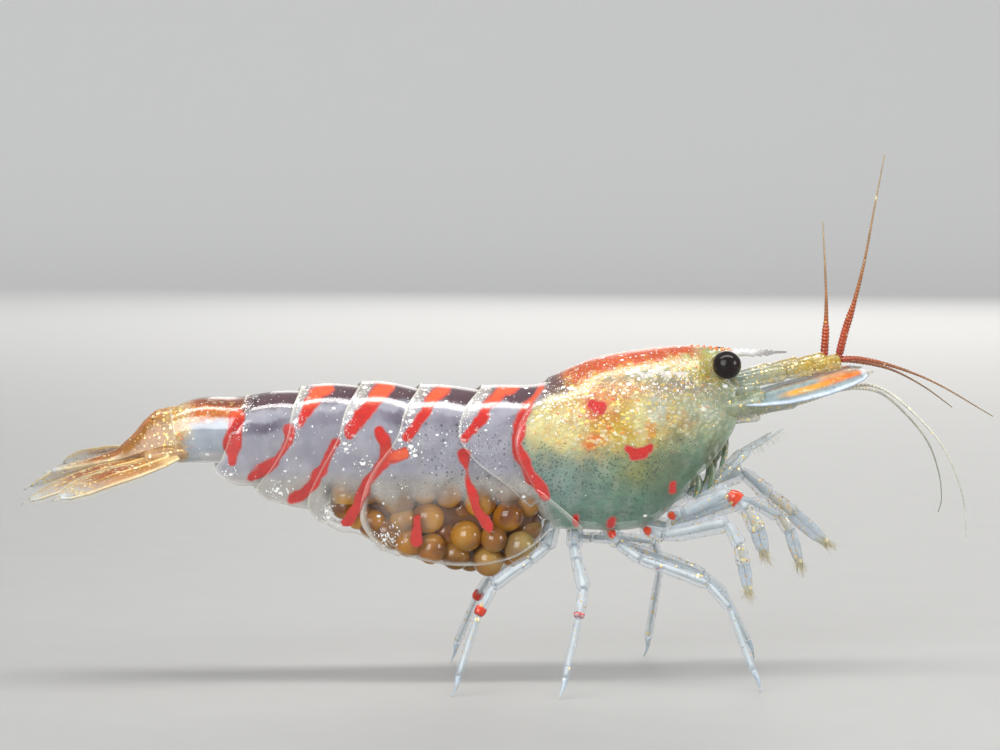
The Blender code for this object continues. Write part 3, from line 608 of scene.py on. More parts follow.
LAVENDER = tone(188, 187, 197)
DARK_BAND = tone(124, 114, 132)
PLUM = tone(100, 72, 80)
PALE_PLATE = tone(196, 192, 184)
PALE_RIM = tone(236, 232, 222)
ICE = tone(192, 202, 212)
ORANGE = tone(226, 118, 50)
RUST = tone(146, 66, 44)
CREAM = tone(236, 214, 166)
GOLD = tone(236, 178, 84)
YELLOW = tone(222, 174, 0)
RED_ORANGE = tone(226, 92, 44)
SAGE = tone(112, 156, 128)
SLATE = tone(130, 160, 150)
OLIVE = tone(142, 142, 72)
WHITE = tone(250, 248, 244)
# White flecks on the lower hind corners of the side plates and on their flanks.
WHITE_SPOTS = ((-7.2, 6.45), (-9.1, 7.4), (-10.75, 8.0), (-4.9, 5.6), (-5.8, 8.4), (-6.4, 9.1), (-3.9, 9.1))
NO_BAND = 9.0             # a distance that keeps every red band away


def coat(colour, *coats):
    """A colour, or one for each point, with (weight at each point, colour) coats laid over it in turn."""
    for weight, over in coats:
        colour = colour + (over - colour) * weight[:, None]
    return colour


def spot(x, z, place, size, edge=1.0):
    """1 in the middle of an oval spot, fading past its rim; `edge` over 1 makes the rim crisper."""
    far = np.hypot((x - place[0]) / size[0], (z - place[1]) / size[1])
    return 1 / (1 + far ** (4 * edge))


def blotches(x, z, size, seed):
    """Smooth random field, about -1 to 1, with blotches `size` millimetres across."""
    dice = np.random.default_rng(seed)
    total = 0
    for _ in range(10):
        way, start = dice.uniform(0, 2 * math.pi, 2)
        waves = (x * math.cos(way) + z * math.sin(way)) * math.pi / size * dice.uniform(0.6, 1.6)
        total = total + np.sin(waves + start)
    return np.clip(total / 3.2, -1, 1)


def paint_head(x, z, under_back):
    """Colours of the carapace, from the orange crest down to the stippled grey-green flank, with a painted
    highlight along the crest.
    """
    wide, narrow = blotches(x, z, 0.8, 1), blotches(x, z, 0.3, 2)
    patch, speck = blotches(x, z, 0.45, 3), blotches(x, z, 0.17, 4)
    x, z = x + 0.12 * wide + 0.06 * narrow, z + 0.1 * patch + 0.05 * speck
    under_back = under_back + 0.09 * narrow + 0.06 * speck

    def oval(place, size, edge=1.0):
        return spot(x, z, place, size, edge)

    cream, cheek = oval((2.8, 10.1), (2.3, 1.1), 1.5), oval((6.4, 10.2), (1.9, 1.1))
    near_back = ramp(0.85, 0.5, under_back)
    # A white line along the crest of the carapace: a painted highlight.
    painted_highlight = line_distance(x, z, [(4.3, 11.7, 0.03), (5.4, 11.74, 0.1), (6.4, 11.66, 0.06)])
    return coat(
        SAGE,
        (oval((1.2, 8.0), (2.0, 1.5)), SLATE),
        (0.35 * ramp(-0.2, 0.7, wide), tone(112, 134, 122)),
        (0.3 * ramp(0.1, 0.8, patch), tone(176, 186, 176)),
        (0.95 * oval((6.3, 10.6), (2.1, 1.2)), tone(172, 182, 144)),
        (0.8 * oval((6.9, 10.3), (0.9, 0.4)), tone(192, 212, 194)),
        (0.9 * oval((7.0, 11.85), (1.2, 0.6)), tone(214, 206, 104)),
        (0.8 * oval((6.2, 11.2), (1.1, 0.3)), tone(150, 144, 150)),
        (0.7 * oval((5.9, 10.0), (0.7, 0.45)), tone(206, 160, 96)),
        (0.85 * oval((4.7, 8.1), (0.9, 0.5)), OLIVE),
        (0.8 * oval((5.4, 8.2), (0.7, 1.1)), tone(104, 128, 100)),
        (0.8 * ramp(0.3, 0.8, wide) * oval((6.9, 8.9), (1.4, 0.6)), tone(112, 122, 88)),
        (0.95 * oval((2.9, 10.2), (2.4, 1.15), 1.5), tone(246, 228, 132)),
        (0.95 * oval((1.6, 9.8), (1.3, 0.85), 1.6), tone(244, 236, 166)),
        (0.8 * oval((3.9, 11.1), (1.1, 0.4)), tone(244, 164, 116)),
        (oval((3.3, 10.0), (0.65, 0.62), 1.5), YELLOW),
        (0.9 * oval((4.35, 9.5), (0.9, 0.5), 1.3), tone(236, 204, 44)),
        (oval((4.75, 10.05), (0.36, 0.8), 1.6), tone(250, 244, 170)),
        (0.8 * oval((5.25, 10.4), (0.3, 0.5), 1.5), tone(206, 222, 216)),
        (0.85 * oval((5.05, 9.5), (0.12, 0.35), 1.6), tone(240, 140, 30)),
        (0.5 * cream * ramp(0.25, 0.7, patch), GOLD),
        (0.65 * cream * ramp(0.3, 0.8, narrow), tone(252, 244, 180)),
        (0.3 * cream * ramp(0.45, 0.9, speck), tone(190, 140, 72)),
        (0.45 * cheek * ramp(0.2, 0.8, narrow), tone(140, 150, 104)),
        (0.5 * cheek * ramp(0.3, 0.9, speck), tone(222, 232, 194)),
        (0.9 * near_back * ramp(2.6, 1.8, x), tone(112, 68, 76)),
        (near_back * ramp(1.7, 2.4, x) * ramp(6.8, 5.6, x), tone(240, 176, 70)),
        (ramp(0.5, 0.26, under_back) * ramp(1.6, 2.2, x) * ramp(7.4, 6.6, x), RED_ORANGE),
        (ramp(0.09, -0.03, painted_highlight), WHITE),
        (0.9 * oval((2.95, 10.55), (0.5, 0.46)), tone(246, 84, 60)),
        (0.9 * oval((2.85, 9.22), (0.44, 0.25), 1.3), tone(250, 116, 30)))


def paint(grid):
    """Markings at the points' side-view places, the same on shell and flesh, and where the eggs show."""
    x, z = grid[..., 0].ravel(), grid[..., 2].ravel()
    under_back = value_at(BACK_LINE, x) - z + 0.08 * blotches(x, z, 0.5, 5) + 0.03 * blotches(x, z, 0.15, 6)
    head = ramp(-0.3, 0.5, x - value_at(CARAPACE_REAR, z))
    tail = ramp(0.2, -0.2, x - value_at(EDGE_5_6, z))
    cloud = blotches(x, z, 0.7, 7)
    patch = 0.5 + 0.5 * np.sin(1.9 * x + 0.6) * np.sin(0.7 * x + 2.0)
    body = coat(LAVENDER,
                (0.25 * ramp(0.0, 0.8, cloud), tone(156, 160, 178)),
                (ramp(0.62, 0.34, under_back), PLUM),
                (patch * ramp(0.8, 0.95, under_back) * ramp(1.5, 1.2, under_back), DARK_BAND),
                (ramp(8.3, 7.6, z), PALE_PLATE))
    for edge in ABDOMEN_EDGES[1:5]:
        ahead = x - value_at(edge, z) - 0.06 * cloud
        rim = 0.55 * ramp(0.7, 0.05, ahead) * ramp(-0.12, 0.0, ahead) * ramp(9.8, 10.5, z)
        body = coat(body, (rim, PALE_RIM))
    last = coat(ICE,
                (ramp(0.85, 0.55, under_back), ORANGE),
                (ramp(0.3, 0.1, under_back) * ramp(-12.6, -11.6, x), RUST),
                (ramp(-12.0, -12.6, x) * ramp(9.2, 9.6, z), CREAM),
                (ramp(-12.3, -12.9, x), GOLD),
                (ramp(9.0, 8.7, z) * ramp(-12.4, -11.5, x), WHITE))
    body = mix(body, last, tail[:, None])
    tint = mix(body, paint_head(x, z, under_back), head[:, None])

    egg_window = ramp(8.05, 6.75, z + 0.2 * cloud) * (1 - head) * (1 - tail)
    # Over one egg the plate stays a little less clear, so its pale tint lays a painted reflection on that
    # egg.
    egg_window = egg_window * (1 - 0.15 * spot(x, z, (-3.9, 6.7), (1.1, 1.0), 1.5)) * ramp(-7.5, -7.0, x)
    gold = head * np.maximum(spot(x, z, (3.2, 10.4), (3.0, 1.35), 1.4),
                             0.9 * spot(x, z, (6.4, 11.6), (1.7, 0.7)))
    gold = np.maximum(gold, 0.45 * head * spot(x, z, (6.3, 10.2), (1.6, 0.8), 1.5))
    gold = gold * ramp(1.4, 2.2, x + 1.6 * ramp(0.6, 1.0, under_back))
    gold = gold + 0.8 * tail * ramp(-12.0, -12.7, x) + 0.35 * tail * ramp(0.9, 0.6, under_back)
    hinge = np.min([np.abs(x - value_at(edge, z) - 0.15) for edge in ABDOMEN_EDGES[1:6]], axis=0)
    spark = 0.55 * ramp(0.32, 0.1, hinge) * ramp(8.6, 9.6, z) + 0.03 * (1 - head) * (1 - egg_window)
    spark = np.max([spark, 0.45 * head * spot(x, z, (1.4, 10.75), (1.1, 0.6)),
                    0.3 * head * spot(x, z, (5.4, 11.5), (2.2, 0.7)),
                    *(0.5 * spot(x, z, place, (0.3, 0.28)) for place in WHITE_SPOTS)], axis=0)
    dots = 0.9 * head * ramp(9.4, 8.6, z) + 0.5 * (1 - head) * ramp(10.2, 9.6, z) * ramp(-5.0, -2.0, x)
    dots = dots * (1 - egg_window)
    bent_x, bent_z = x + 0.05 * blotches(x, z, 0.5, 8), z + 0.05 * blotches(x, z, 0.5, 9)
    stripe = np.min([line_distance(bent_x, bent_z, mark) for mark in RED_MARKS], axis=0)
    orange = np.max([ramp(0.9, 0.3, under_back), spot(x, z, (-4.3, 8.8), (0.5, 0.3)),
                     0.8 * spot(x, z, (3.0, 9.2), (0.6, 0.3))], axis=0)
    marks = {"gold": gold, "spark": spark, "dots": dots, "stripe": stripe, "orange": orange, "tint": tint}
    return marks, egg_window.reshape(grid.shape[:2])


def glass_marks(tint, cover, stripe=NO_BAND, gold=0.0, dots=0.0, orange=1.0):
    """What the glassy looks read, at each point or once for a whole piece."""
    return {"cover": cover, "stripe": stripe, "gold": gold, "dots": dots, "orange": orange, "tint": tint}


# ------------------------------------------------------------------------------ flesh and shells

def half_outline(front, rear, share, lower, arch, count, tuck):
    """Right-hand outline of a plate at one share of its length, evenly spaced from the back down."""
    top = value_at(BACK_LINE, mix(value_at(front, AT_BACK), value_at(rear, AT_BACK), share)) + arch
    z = lower + (top - lower) * np.cos(np.linspace(0, 1, 160) * math.pi / 2)
    x = mix(value_at(front, z), value_at(rear, z), share)
    y = half_width_at(x, z, top) * (1 - tuck * np.clip((lower + 0.9 - z) / 0.9, 0, 1) ** 2)
    y[0] = 0
    points, at = even_path(np.column_stack([x, -y, z]), count)
    return points, at[-1] - at


def plate_grid(front, rear, lower_of, shares, around, arch_of, tuck=0.12):
    """Grid over the back: rows run rearwards, columns from the left lower edge to the right one."""
    rows, from_edge = [], []
    for share in shares:
        half, left_over = half_outline(front, rear, share, lower_of(share), arch_of(share), around, tuck)
        rows.append(np.vstack([half[:0:-1] * (1, -1, 1), half]))
        from_edge.append(np.concatenate([left_over[:0:-1], left_over]))
    return np.array(rows), np.array(from_edge)


def shell_plate(name, grid, faces, marks, rim, cover, material, slot, node, thickness=0.07, offset=-1):
    """Thin plate of a grid of points, with its markings, its pale rim and how far it covers."""
    item = make_object(name, grid.reshape(-1, 3), faces, material, marks | {"rim": rim, "cover": cover})
    return finish_piece(thicken(item, thickness, offset), slot, node)


def shell_piece(name, grid, push, to_rim, cover, material, slot, node, thickness=0.07):
    """Closed thin plate from a grid that is pushed out along its normals by `push`."""
    rim = ramp(0.12, 0.03, to_rim) * mix(0.6, 1.0, ramp(9.6, 10.8, grid[..., 2]))
    faces = [face[::-1] for face in grid_faces(*grid.shape[:2])]
    return shell_plate(name, grid + normals_of(grid) * push[..., None], faces, paint(grid)[0], rim, cover,
                       material, slot, node, thickness)


def build_abdomen(material):
    """Five arched plates that overlap like tiles, and the barrel of the sixth segment."""
    overhang = 0.1
    for number in range(1, 6):
        front, rear = ABDOMEN_EDGES[number - 1:number + 1]
        lowers = SIDE_PLATE_LOWER[number]
        length = value_at(front, 9.6) - value_at(rear, 9.6)
        lead = 1.8 if number == 3 else 0.4
        shares = 1 + overhang / length - (1 + (overhang + lead) / length) * np.linspace(1, 0, 64) ** 1.25
        grid, from_edge = plate_grid(front, rear, lambda share: float(value_at(lowers, share)), shares, 74,
                                     lambda share: 0.07 * math.sin(math.pi * share) + 0.04 * share)
        share = np.broadcast_to(shares[:, None], grid.shape[:2])
        low = ramp(7.9, 7.2, grid[..., 2])
        lift = {1: 0.0, 2: 0.2}.get(number, -0.05)
        push = mix(-0.11, 0.035, ramp(0.0, 1.0, share)) + lift * low * (1 - share)
        hind = (shares[-1] - share) * length
        covered = 0.0 if number == 2 else 9.0       # the other plates' front edges have no pale rim
        fore = (share - shares[0]) * length + covered + 3.0 * (1 - low)
        push = push + 0.035 * ramp(0.12, 0.03, np.minimum(hind, from_edge))
        cover = mix(0.52 + 0.16 * ramp(9.6, 10.3, grid[..., 2]), -0.02, paint(grid)[1])
        to_rim = np.min([hind, fore, from_edge * 0.9], axis=0)
        shell_piece(f"abdomen_shell_{number}", grid, push, to_rim, cover, material, "abdomen_shell",
                    f"abdomen_{number}")
    build_last_segment(material)


def build_last_segment(material, rings=46, sides=96):
    """Sixth segment: a closed, flattened barrel with a pale hind rim."""
    turn = np.linspace(0, 2 * math.pi, sides, endpoint=False)
    rows, shares = [], np.linspace(-0.12, 1.0, rings)
    for share in shares:
        x_top = mix(value_at(EDGE_5_6, AT_BACK), value_at(ABDOMEN_REAR, AT_BACK), share)
        top = value_at(BACK_LINE, x_top) + 0.05 * math.sin(math.pi * share)
        z = (top + LAST_SEGMENT_FLOOR) / 2 + (top - LAST_SEGMENT_FLOOR) / 2 * np.cos(turn)
        x = mix(value_at(EDGE_5_6, z), value_at(ABDOMEN_REAR, z), share)
        swell = 1 + 0.03 * math.sin(math.pi * share) - 0.07 * ramp(0.06, -0.12, share)
        y = value_at(HALF_WIDTH, x) * np.sign(np.sin(turn)) * np.abs(np.sin(turn)) ** 0.8 * swell
        rows.append(np.column_stack([x, y, z]))
    grid = np.array(rows)
    rim = np.repeat(0.6 * ramp(0.06, 0.01, 1.0 - shares), sides)
    shell_plate("abdomen_shell_6", grid, grid_faces(rings, sides, wrap=True), paint(grid)[0], rim, 0.62,
                material, "abdomen_shell", "abdomen_6", offset=1)


def build_carapace(material):
    """Carapace with the eye notches, feeler spines and a turned-in lower edge."""
    shares = np.linspace(0, 1, 120) ** 0.92
    grid, from_edge = plate_grid(CARAPACE_REAR, CARAPACE_FRONT,
                                 lambda share: float(value_at(CARAPACE_LOWER, mix(1.4, 7.35, share))),
                                 shares, 96, lambda share: 0.0, tuck=0.22)
    share = np.broadcast_to(shares[:, None], grid.shape[:2])
    to_rim = np.minimum(np.minimum(share, 1 - share) * CARAPACE_LENGTH + 0.02, from_edge)
    x, z = grid[..., 0], grid[..., 2]
    groove = line_distance(x, z, [(6.9, 10.3, 0.0), (6.0, 9.9, 0.0), (5.3, 9.2, 0.0)])
    push = 0.02 + 0.025 * ramp(0.14, 0.03, to_rim) - 0.05 * ramp(0.28, 0.0, groove)
    cover = mix(0.7, 0.42, ramp(5.2, 6.4, x) * ramp(9.4, 8.4, z))
    cover = mix(cover, 0.52, ramp(8.0, 6.8, z))
    shell_piece("carapace_shell", grid, push, to_rim, cover, material, "head_shell", "carapace", 0.08)


def build_flesh(material, sides=96):
    """One skin over everything fleshy: the tail muscle, the trunk and the head."""
    inset = 0.2
    xs = np.concatenate([np.linspace(-12.85, -0.6, 120), np.linspace(-0.55, 8.05, 130)])
    turn = np.linspace(0, 2 * math.pi, sides, endpoint=False)
    rows = []
    for x in xs:
        top = float(value_at(BACK_LINE, x)) - inset
        floor = mix(float(value_at(MUSCLE_FLOOR, x)) if x < 2 else 6.0,
                    float(value_at(CARAPACE_LOWER, x)) + 0.12, float(ramp(-0.05, 1.15, x)))
        if x < -10.4:
            floor = max(floor, LAST_SEGMENT_FLOOR + inset)
        if x > 7.0:
            floor = max(floor, 8.0 + 1.75 * (x - 7.2))
        z = (top + floor) / 2 + (top - floor) / 2 * np.cos(turn)
        wide = np.maximum(half_width_at(np.full(sides, x), z, top + inset) - inset, 0.02)
        close = np.sqrt(np.clip(1 - np.clip((floor + 1.0 - z) / 1.0, 0, 1) ** 2, 0, 1))
        crown = np.sqrt(np.clip(1 - np.clip((z - top + 0.5) / 0.5, 0, 1) ** 2, 0, 1))
        taper = (1.0 if x > -12.4 else 0.9) * math.sqrt(1 - max(0.0, (x - 6.7) / 1.75) ** 2)
        y = np.sign(np.sin(turn)) * wide * close * crown * taper
        y[0] = y[sides // 2] = 0
        rows.append(np.column_stack([np.full(sides, x), y, z]))
    grid = np.array(rows)
    marks, _ = paint(grid)
    points = np.vstack([grid.reshape(-1, 3), grid[0].mean(0), grid[-1].mean(0)])
    faces = [face[::-1] for face in closed_faces(len(xs), sides)]
    item = make_object("flesh", points, faces, material, {
        "gold": np.concatenate([marks["gold"], [0, 0]]),
        "tint": np.vstack([marks["tint"], marks["tint"][0], marks["tint"][-1]])})
    return finish_piece(item, "abdomen_shell", "carapace", *(f"abdomen_{number}" for number in range(1, 7)))


# ------------------------------------------------------------------------------------------ eggs

CLUTCH_FLOOR = [(-6.7, 6.4), (-5.9, 5.85), (-5.3, 5.45), (-4.6, 5.0), (-3.0, 4.52), (-1.4, 4.05),
                (-0.4, 4.15), (0.4, 4.65), (0.9, 5.2)]
CLUTCH_REACH = [(-6.8, 1.2), (-5.6, 1.42), (-4.2, 1.6), (-3.0, 1.72)]
CLUTCH_ENDS, CLUTCH_TOP = (-6.95, 1.0), 7.95
# Eggs with a place of their own: X, Y, Z, radius, paleness; the paleness is partly paler eggs and partly a
# painted reflection on eggs seen through the shell.
FIXED_EGGS = [(0.15, -1.2, 5.15, 0.6, 0.9), (-4.4, -1.1, 7.0, 0.66, 0.2), (-6.55, -0.95, 7.35, 0.5, 0.0),
              (-1.35, -1.15, 6.9, 0.6, 0.1), (-2.55, -1.15, 7.2, 0.52, 0.15), (-3.35, -1.2, 6.3, 0.6, 0.1),
              (-0.3, -1.15, 6.35, 0.58, 0.0), (-1.9, -1.2, 5.6, 0.6, 0.1), (-3.2, -1.15, 5.1, 0.56, 0.1),
              (-4.9, -1.1, 5.75, 0.56, 0.1)]


def pack_eggs(count=84, rounds=90):
    """Places and radii of the carried eggs, pushed apart inside the clutch's outline."""
    places = np.column_stack([RNG.uniform(-6.6, 0.8, count), RNG.uniform(-1.2, 1.2, count),
                              RNG.uniform(4.2, 7.6, count)])
    radii = RNG.uniform(0.5, 0.62, count)
    fixed = len(FIXED_EGGS)
    anchor = np.array(FIXED_EGGS)[:, :3]
    radii[:fixed] = np.array(FIXED_EGGS)[:, 3]
    places[:fixed] = anchor
    for _ in range(rounds):
        gap = places[:, None] - places[None]
        distance = np.linalg.norm(gap, axis=2) + 9 * np.eye(count)      # no egg pushes itself
        push = np.clip(0.97 * (radii[:, None] + radii[None]) - distance, 0, None)
        places = places + (gap / distance[..., None] * push[..., None] * 0.35).sum(1)
        places[:fixed] = anchor
        places[:, 0] = np.clip(places[:, 0], CLUTCH_ENDS[0] + radii, CLUTCH_ENDS[1] - radii)
        reach = value_at(CLUTCH_REACH, places[:, 0]) - radii
        places[:, 1] = np.clip(places[:, 1], -reach, reach)
        low = value_at(CLUTCH_FLOOR, places[:, 0]) + radii
        places[:, 2] = np.clip(places[:, 2], low, np.maximum(CLUTCH_TOP - radii, low + 0.01))
    return places, radii


def build_eggs(material):
    """The eggs as one mesh, and a darker core round which they sit, which paints shade into the gaps between
    them.
    """
    ball, triangles = unit_ball(4)
    parts = []
    for i, (place, radius) in enumerate(zip(*pack_eggs())):
        axis = direction(RNG.normal(size=3) + (0, 0, -0.4))
        long_axis = direction(RNG.normal(size=3))
        points = ball * radius + np.outer(ball @ long_axis, long_axis) * radius * 0.08 + place
        pale = FIXED_EGGS[i][4] if i < len(FIXED_EGGS) else float(RNG.random() ** 4 * 0.5)
        shade = 0.4 * float(RNG.random()) + 0.4 * float(ramp(5.2, 4.2, place[2]))
        marks = {"yolk": ball @ axis, "low": -ball[:, 2], "pale": pale, "shade": shade}
        parts.append((points, triangles, marks))
    points, faces, marks = joined(parts)
    eggs = make_object("eggs_carried", points, faces, material, marks)
    # A dark core fills the clutch, so the gaps between the eggs show painted shade.
    xs, top = np.linspace(-6.4, 0.55, 60), 7.75
    low = value_at(CLUTCH_FLOOR, xs) + 0.55 + 0.5 * ramp(-5.6, -6.4, xs) + 0.5 * ramp(-0.1, 0.55, xs)
    reach = (top - low) / 2
    path = np.column_stack([xs, 0 * xs, (top + low) / 2])
    points, faces = tube(path, 1.02 * np.clip(reach, 0.2, 1), reach, (0, 1, 0), 48)
    core = make_object("clutch_shade_core", points, faces, material,
                       {"yolk": 1.0, "low": 0.0, "pale": 0.0, "shade": 0.7})
    finish_piece(core, "eggs", "egg_clutch")
    return finish_piece(eggs, "eggs", "egg_clutch")


# ------------------------------------------------------------------------------------------ head

def build_rostrum(material, sides=16):
    """Toothed blade between the eyes, joined to the crest of the carapace."""
    xs = np.arange(6.2, 10.42, 0.025)
    tip = np.clip((10.6 - xs) / 2.3, 0, 1)
    saw = np.where((xs > 6.6) & (xs < 9.9), ((xs - 6.6) / 0.24) % 1.0, 0.0)
    below = np.where((xs > 8.9) & (xs < 9.9), ((xs - 8.9) / 0.3) % 1.0, 0.0)
    top = value_at(BACK_LINE, xs) + 0.03 + np.where(xs > 8.2, -0.02 * (xs - 8.2), 0)
    top = top + 0.1 * saw * mix(0.4, 1, tip)
    low = top - 0.1 * saw - mix(0.06, 0.26, tip) - 0.06 * below
    wide = mix(0.03, 0.16, ramp(10.3, 7.6, xs)) + 0.1 * ramp(8.0, 6.6, xs)
    turn = 2 * np.pi * np.arange(sides) / sides
    section_y = np.cos(turn) * np.abs(np.cos(turn)) ** 0.4
    rings = np.stack([np.repeat(xs[:, None], sides, 1), wide[:, None] * section_y,
                      ((top + low) / 2)[:, None] + ((top - low) / 2)[:, None] * np.sin(turn)], axis=2)
    points = np.vstack([rings.reshape(-1, 3), rings[0].mean(0), rings[-1].mean(0) + (0.06, 0, 0)])
    x = points[:, 0]
    # The white stretch of the rostrum is a painted highlight; past it the tip turns grey.
    painted_highlight = ramp(8.1, 8.5, x)
    colours = coat(ORANGE, (painted_highlight, WHITE), (ramp(8.95, 9.9, x), tone(138, 126, 128)))
    marks = glass_marks(colours, mix(0.8, 0.42, ramp(8.9, 9.8, x)), gold=0.35 * (1 - painted_highlight))
    item = make_object("rostrum", points, closed_faces(len(xs), sides), material, marks)
    return finish_piece(item, "head_shell", "carapace")


def build_eyes(materials):
    """Black eyes, a little flattened outward, on stalks that widen to them."""
    ball, triangles = unit_ball(5)
    for side, word in SIDES:
        centre = mirrored(EYE_CENTRE, side)
        axis = direction(np.array([0.12, side, 0.25]))
        points = ball * EYE_RADIUS - np.outer(ball @ axis, axis) * EYE_RADIUS * 0.08 + centre
        eye = make_object(f"eye_ball_{word}", points, triangles, materials["eye"])
        finish_piece(eye, "eye", f"eye_{word}")
        path = smooth_path([centre - axis * 1.15 + (-0.25, 0, -0.25),
                            centre - axis * 0.8 + (-0.06, 0, -0.08),
                            centre - axis * 0.5, centre - axis * 0.22], 8)
        wide = np.interp(np.linspace(0, 1, len(path)), [0, 0.35, 0.75, 1], [0.3, 0.3, 0.42, 0.5])
        stalk = make_object(f"eye_stalk_{word}", *tube(path, wide, wide, (1, 0, 0), 28),
                            materials["glass_core"],
                            glass_marks(tone(178, 170, 130), 0.9, gold=0.35, dots=0.3))
        finish_piece(stalk, "head_shell", f"eyestalk_{word}")


# ----------------------------------------------------------------------------------------- limbs

LIMB_ICE = tone(196, 210, 222)
LIMB_CORE = tone(206, 212, 212)
LIMB_LEAN = (0, 1, 0.2)
CORE_SHARE, CORE_SIDES = 0.4, 12


def limb_part(path, wide, high, lean, sides, tint, cover, orange=0.3, **marks):
    """One tube with its paint, ready to be joined; values may run along the path, or round it too."""
    count = len(path)
    marks = glass_marks(tint, cover, orange=orange, **marks)
    for key, values in marks.items():
        values = np.asarray(values, float)
        if key == "tint":
            rings = np.repeat(np.broadcast_to(values, (count, 3)), sides, axis=0)
        else:
            rings = values.ravel() if values.ndim == 2 else np.repeat(np.broadcast_to(values, count), sides)
        marks[key] = np.concatenate([rings, rings[:1], rings[-sides:][:1]])
    return *tube(path, wide, high, lean, sides), marks


def core_part(path, wide, high, tint, stripe, orange):
    """Milky core of a limb, which stops short of its cuticle's ends."""
    inside = slice(1, -1)
    return limb_part(path[inside], wide[inside] * CORE_SHARE, high[inside] * CORE_SHARE, LIMB_LEAN,
                     CORE_SIDES, tint, 1.0, orange, stripe=stripe[inside] if np.ndim(stripe) else stripe)


def make_limb(name, parts, material, slot, *nodes):
    """Join limb parts into one piece."""
    points, faces, marks = joined(parts)
    return finish_piece(make_object(name, points, faces, material, marks), slot, *nodes)


def segment(start, end, wide, high, bend=(0, 0, 0), steps=22, waist=0.72, flare=1.08):
    """Path and half widths of one limb joint-piece: narrow at its root, fuller past the middle."""
    start, end = np.array(start, float), np.array(end, float)
    t = np.linspace(0, 1, steps)
    path = start + (end - start) * t[:, None] + np.array(bend) * np.sin(math.pi * t)[:, None]
    shape = np.interp(t, [0, 0.06, 0.25, 0.6, 0.9, 1.0], [waist * 0.8, waist, 0.95, 1.0, flare, 0.78])
    return path, wide * shape, high * shape


def blots(along, places, size, reach, sides, side):
    """Signed distance to round red spots on the outer face of a limb."""
    turn = 2 * np.pi * np.arange(sides) / sides
    around = size * np.arccos(np.clip(side * np.cos(turn), -1, 1))
    return np.min([np.hypot((along - place)[:, None], around[None]) - reach for place in places], axis=0)


# Walking legs: joint places from root to claw tip, then the half width of each joint-piece.
LEG_WIDTHS = (0.32, 0.23, 0.27, 0.22, 0.165, 0.11)
WALKING_LEGS = {
    ("leg_3", RIGHT): [(3.5, -1.15, 5.95), (3.85, -1.6, 5.3), (4.6, -2.2, 4.8), (7.1, -3.15, 3.95),
                       (7.85, -3.5, 3.1), (8.66, -4.2, 0.8), (8.9, -4.42, 0.02)],
    ("leg_4", RIGHT): [(2.25, -1.15, 5.95), (2.15, -1.75, 5.25), (2.18, -2.5, 4.85), (2.32, -3.9, 3.9),
                       (2.08, -4.55, 2.9), (1.5, -5.4, 0.75), (1.24, -5.62, 0.02)],
    ("leg_5", RIGHT): [(1.4, -1.15, 5.95), (1.15, -1.7, 5.25), (0.45, -2.4, 4.82), (-1.0, -3.4, 3.98),
                       (-1.62, -3.88, 2.95), (-2.4, -4.56, 0.75), (-2.64, -4.72, 0.02)],
    ("leg_3", LEFT): [(3.5, 1.15, 5.95), (3.95, 1.65, 5.25), (4.8, 2.25, 4.7), (7.6, 3.2, 3.6),
                      (8.5, 3.6, 2.8), (9.58, 4.42, 0.75), (9.84, 4.62, 0.02)],
    ("leg_4", LEFT): [(2.3, 1.15, 5.95), (2.55, 1.9, 5.25), (3.2, 2.5, 5.12), (5.75, 3.65, 4.8),
                      (6.05, 4.2, 3.7), (5.72, 5.4, 0.75), (5.58, 5.62, 0.02)],
    ("leg_5", LEFT): [(1.4, 1.15, 5.95), (1.25, 1.7, 5.2), (0.75, 2.35, 4.6), (-0.7, 3.45, 3.5),
                      (-1.2, 3.87, 2.6), (-1.92, 4.55, 0.75), (-2.14, 4.72, 0.02)],
}
# Claw arms: root, first joint, elbow, wrist, palm end and finger tip, then the half widths.
CLAW_WIDTHS = {"cheliped_1": (0.32, 0.46, 0.31, 0.33), "cheliped_2": (0.3, 0.37, 0.25, 0.27)}
CLAW_ARMS = {
    ("cheliped_1", RIGHT): [(5.8, -1.2, 6.4), (6.3, -1.6, 6.4), (7.95, -2.3, 7.3), (8.62, -2.42, 6.72),
                            (9.05, -2.32, 5.85), (9.4, -2.1, 4.7)],
    ("cheliped_2", RIGHT): [(4.8, -1.15, 5.9), (5.5, -1.85, 5.62), (7.8, -3.05, 6.25), (8.25, -3.2, 5.4),
                            (8.42, -3.15, 4.62), (8.66, -2.92, 3.4)],
    ("cheliped_1", LEFT): [(5.8, 1.3, 6.4), (6.9, 1.95, 6.95), (9.0, 2.25, 7.72), (10.1, 2.42, 6.75),
                           (11.1, 2.5, 5.95), (12.6, 2.33, 4.6)],
    ("cheliped_2", LEFT): [(4.8, 1.15, 5.9), (6.0, 1.08, 5.72), (9.0, 1.15, 6.72), (10.35, 1.3, 6.05),
                           (10.8, 1.32, 5.4), (11.25, 1.36, 3.85)],
}


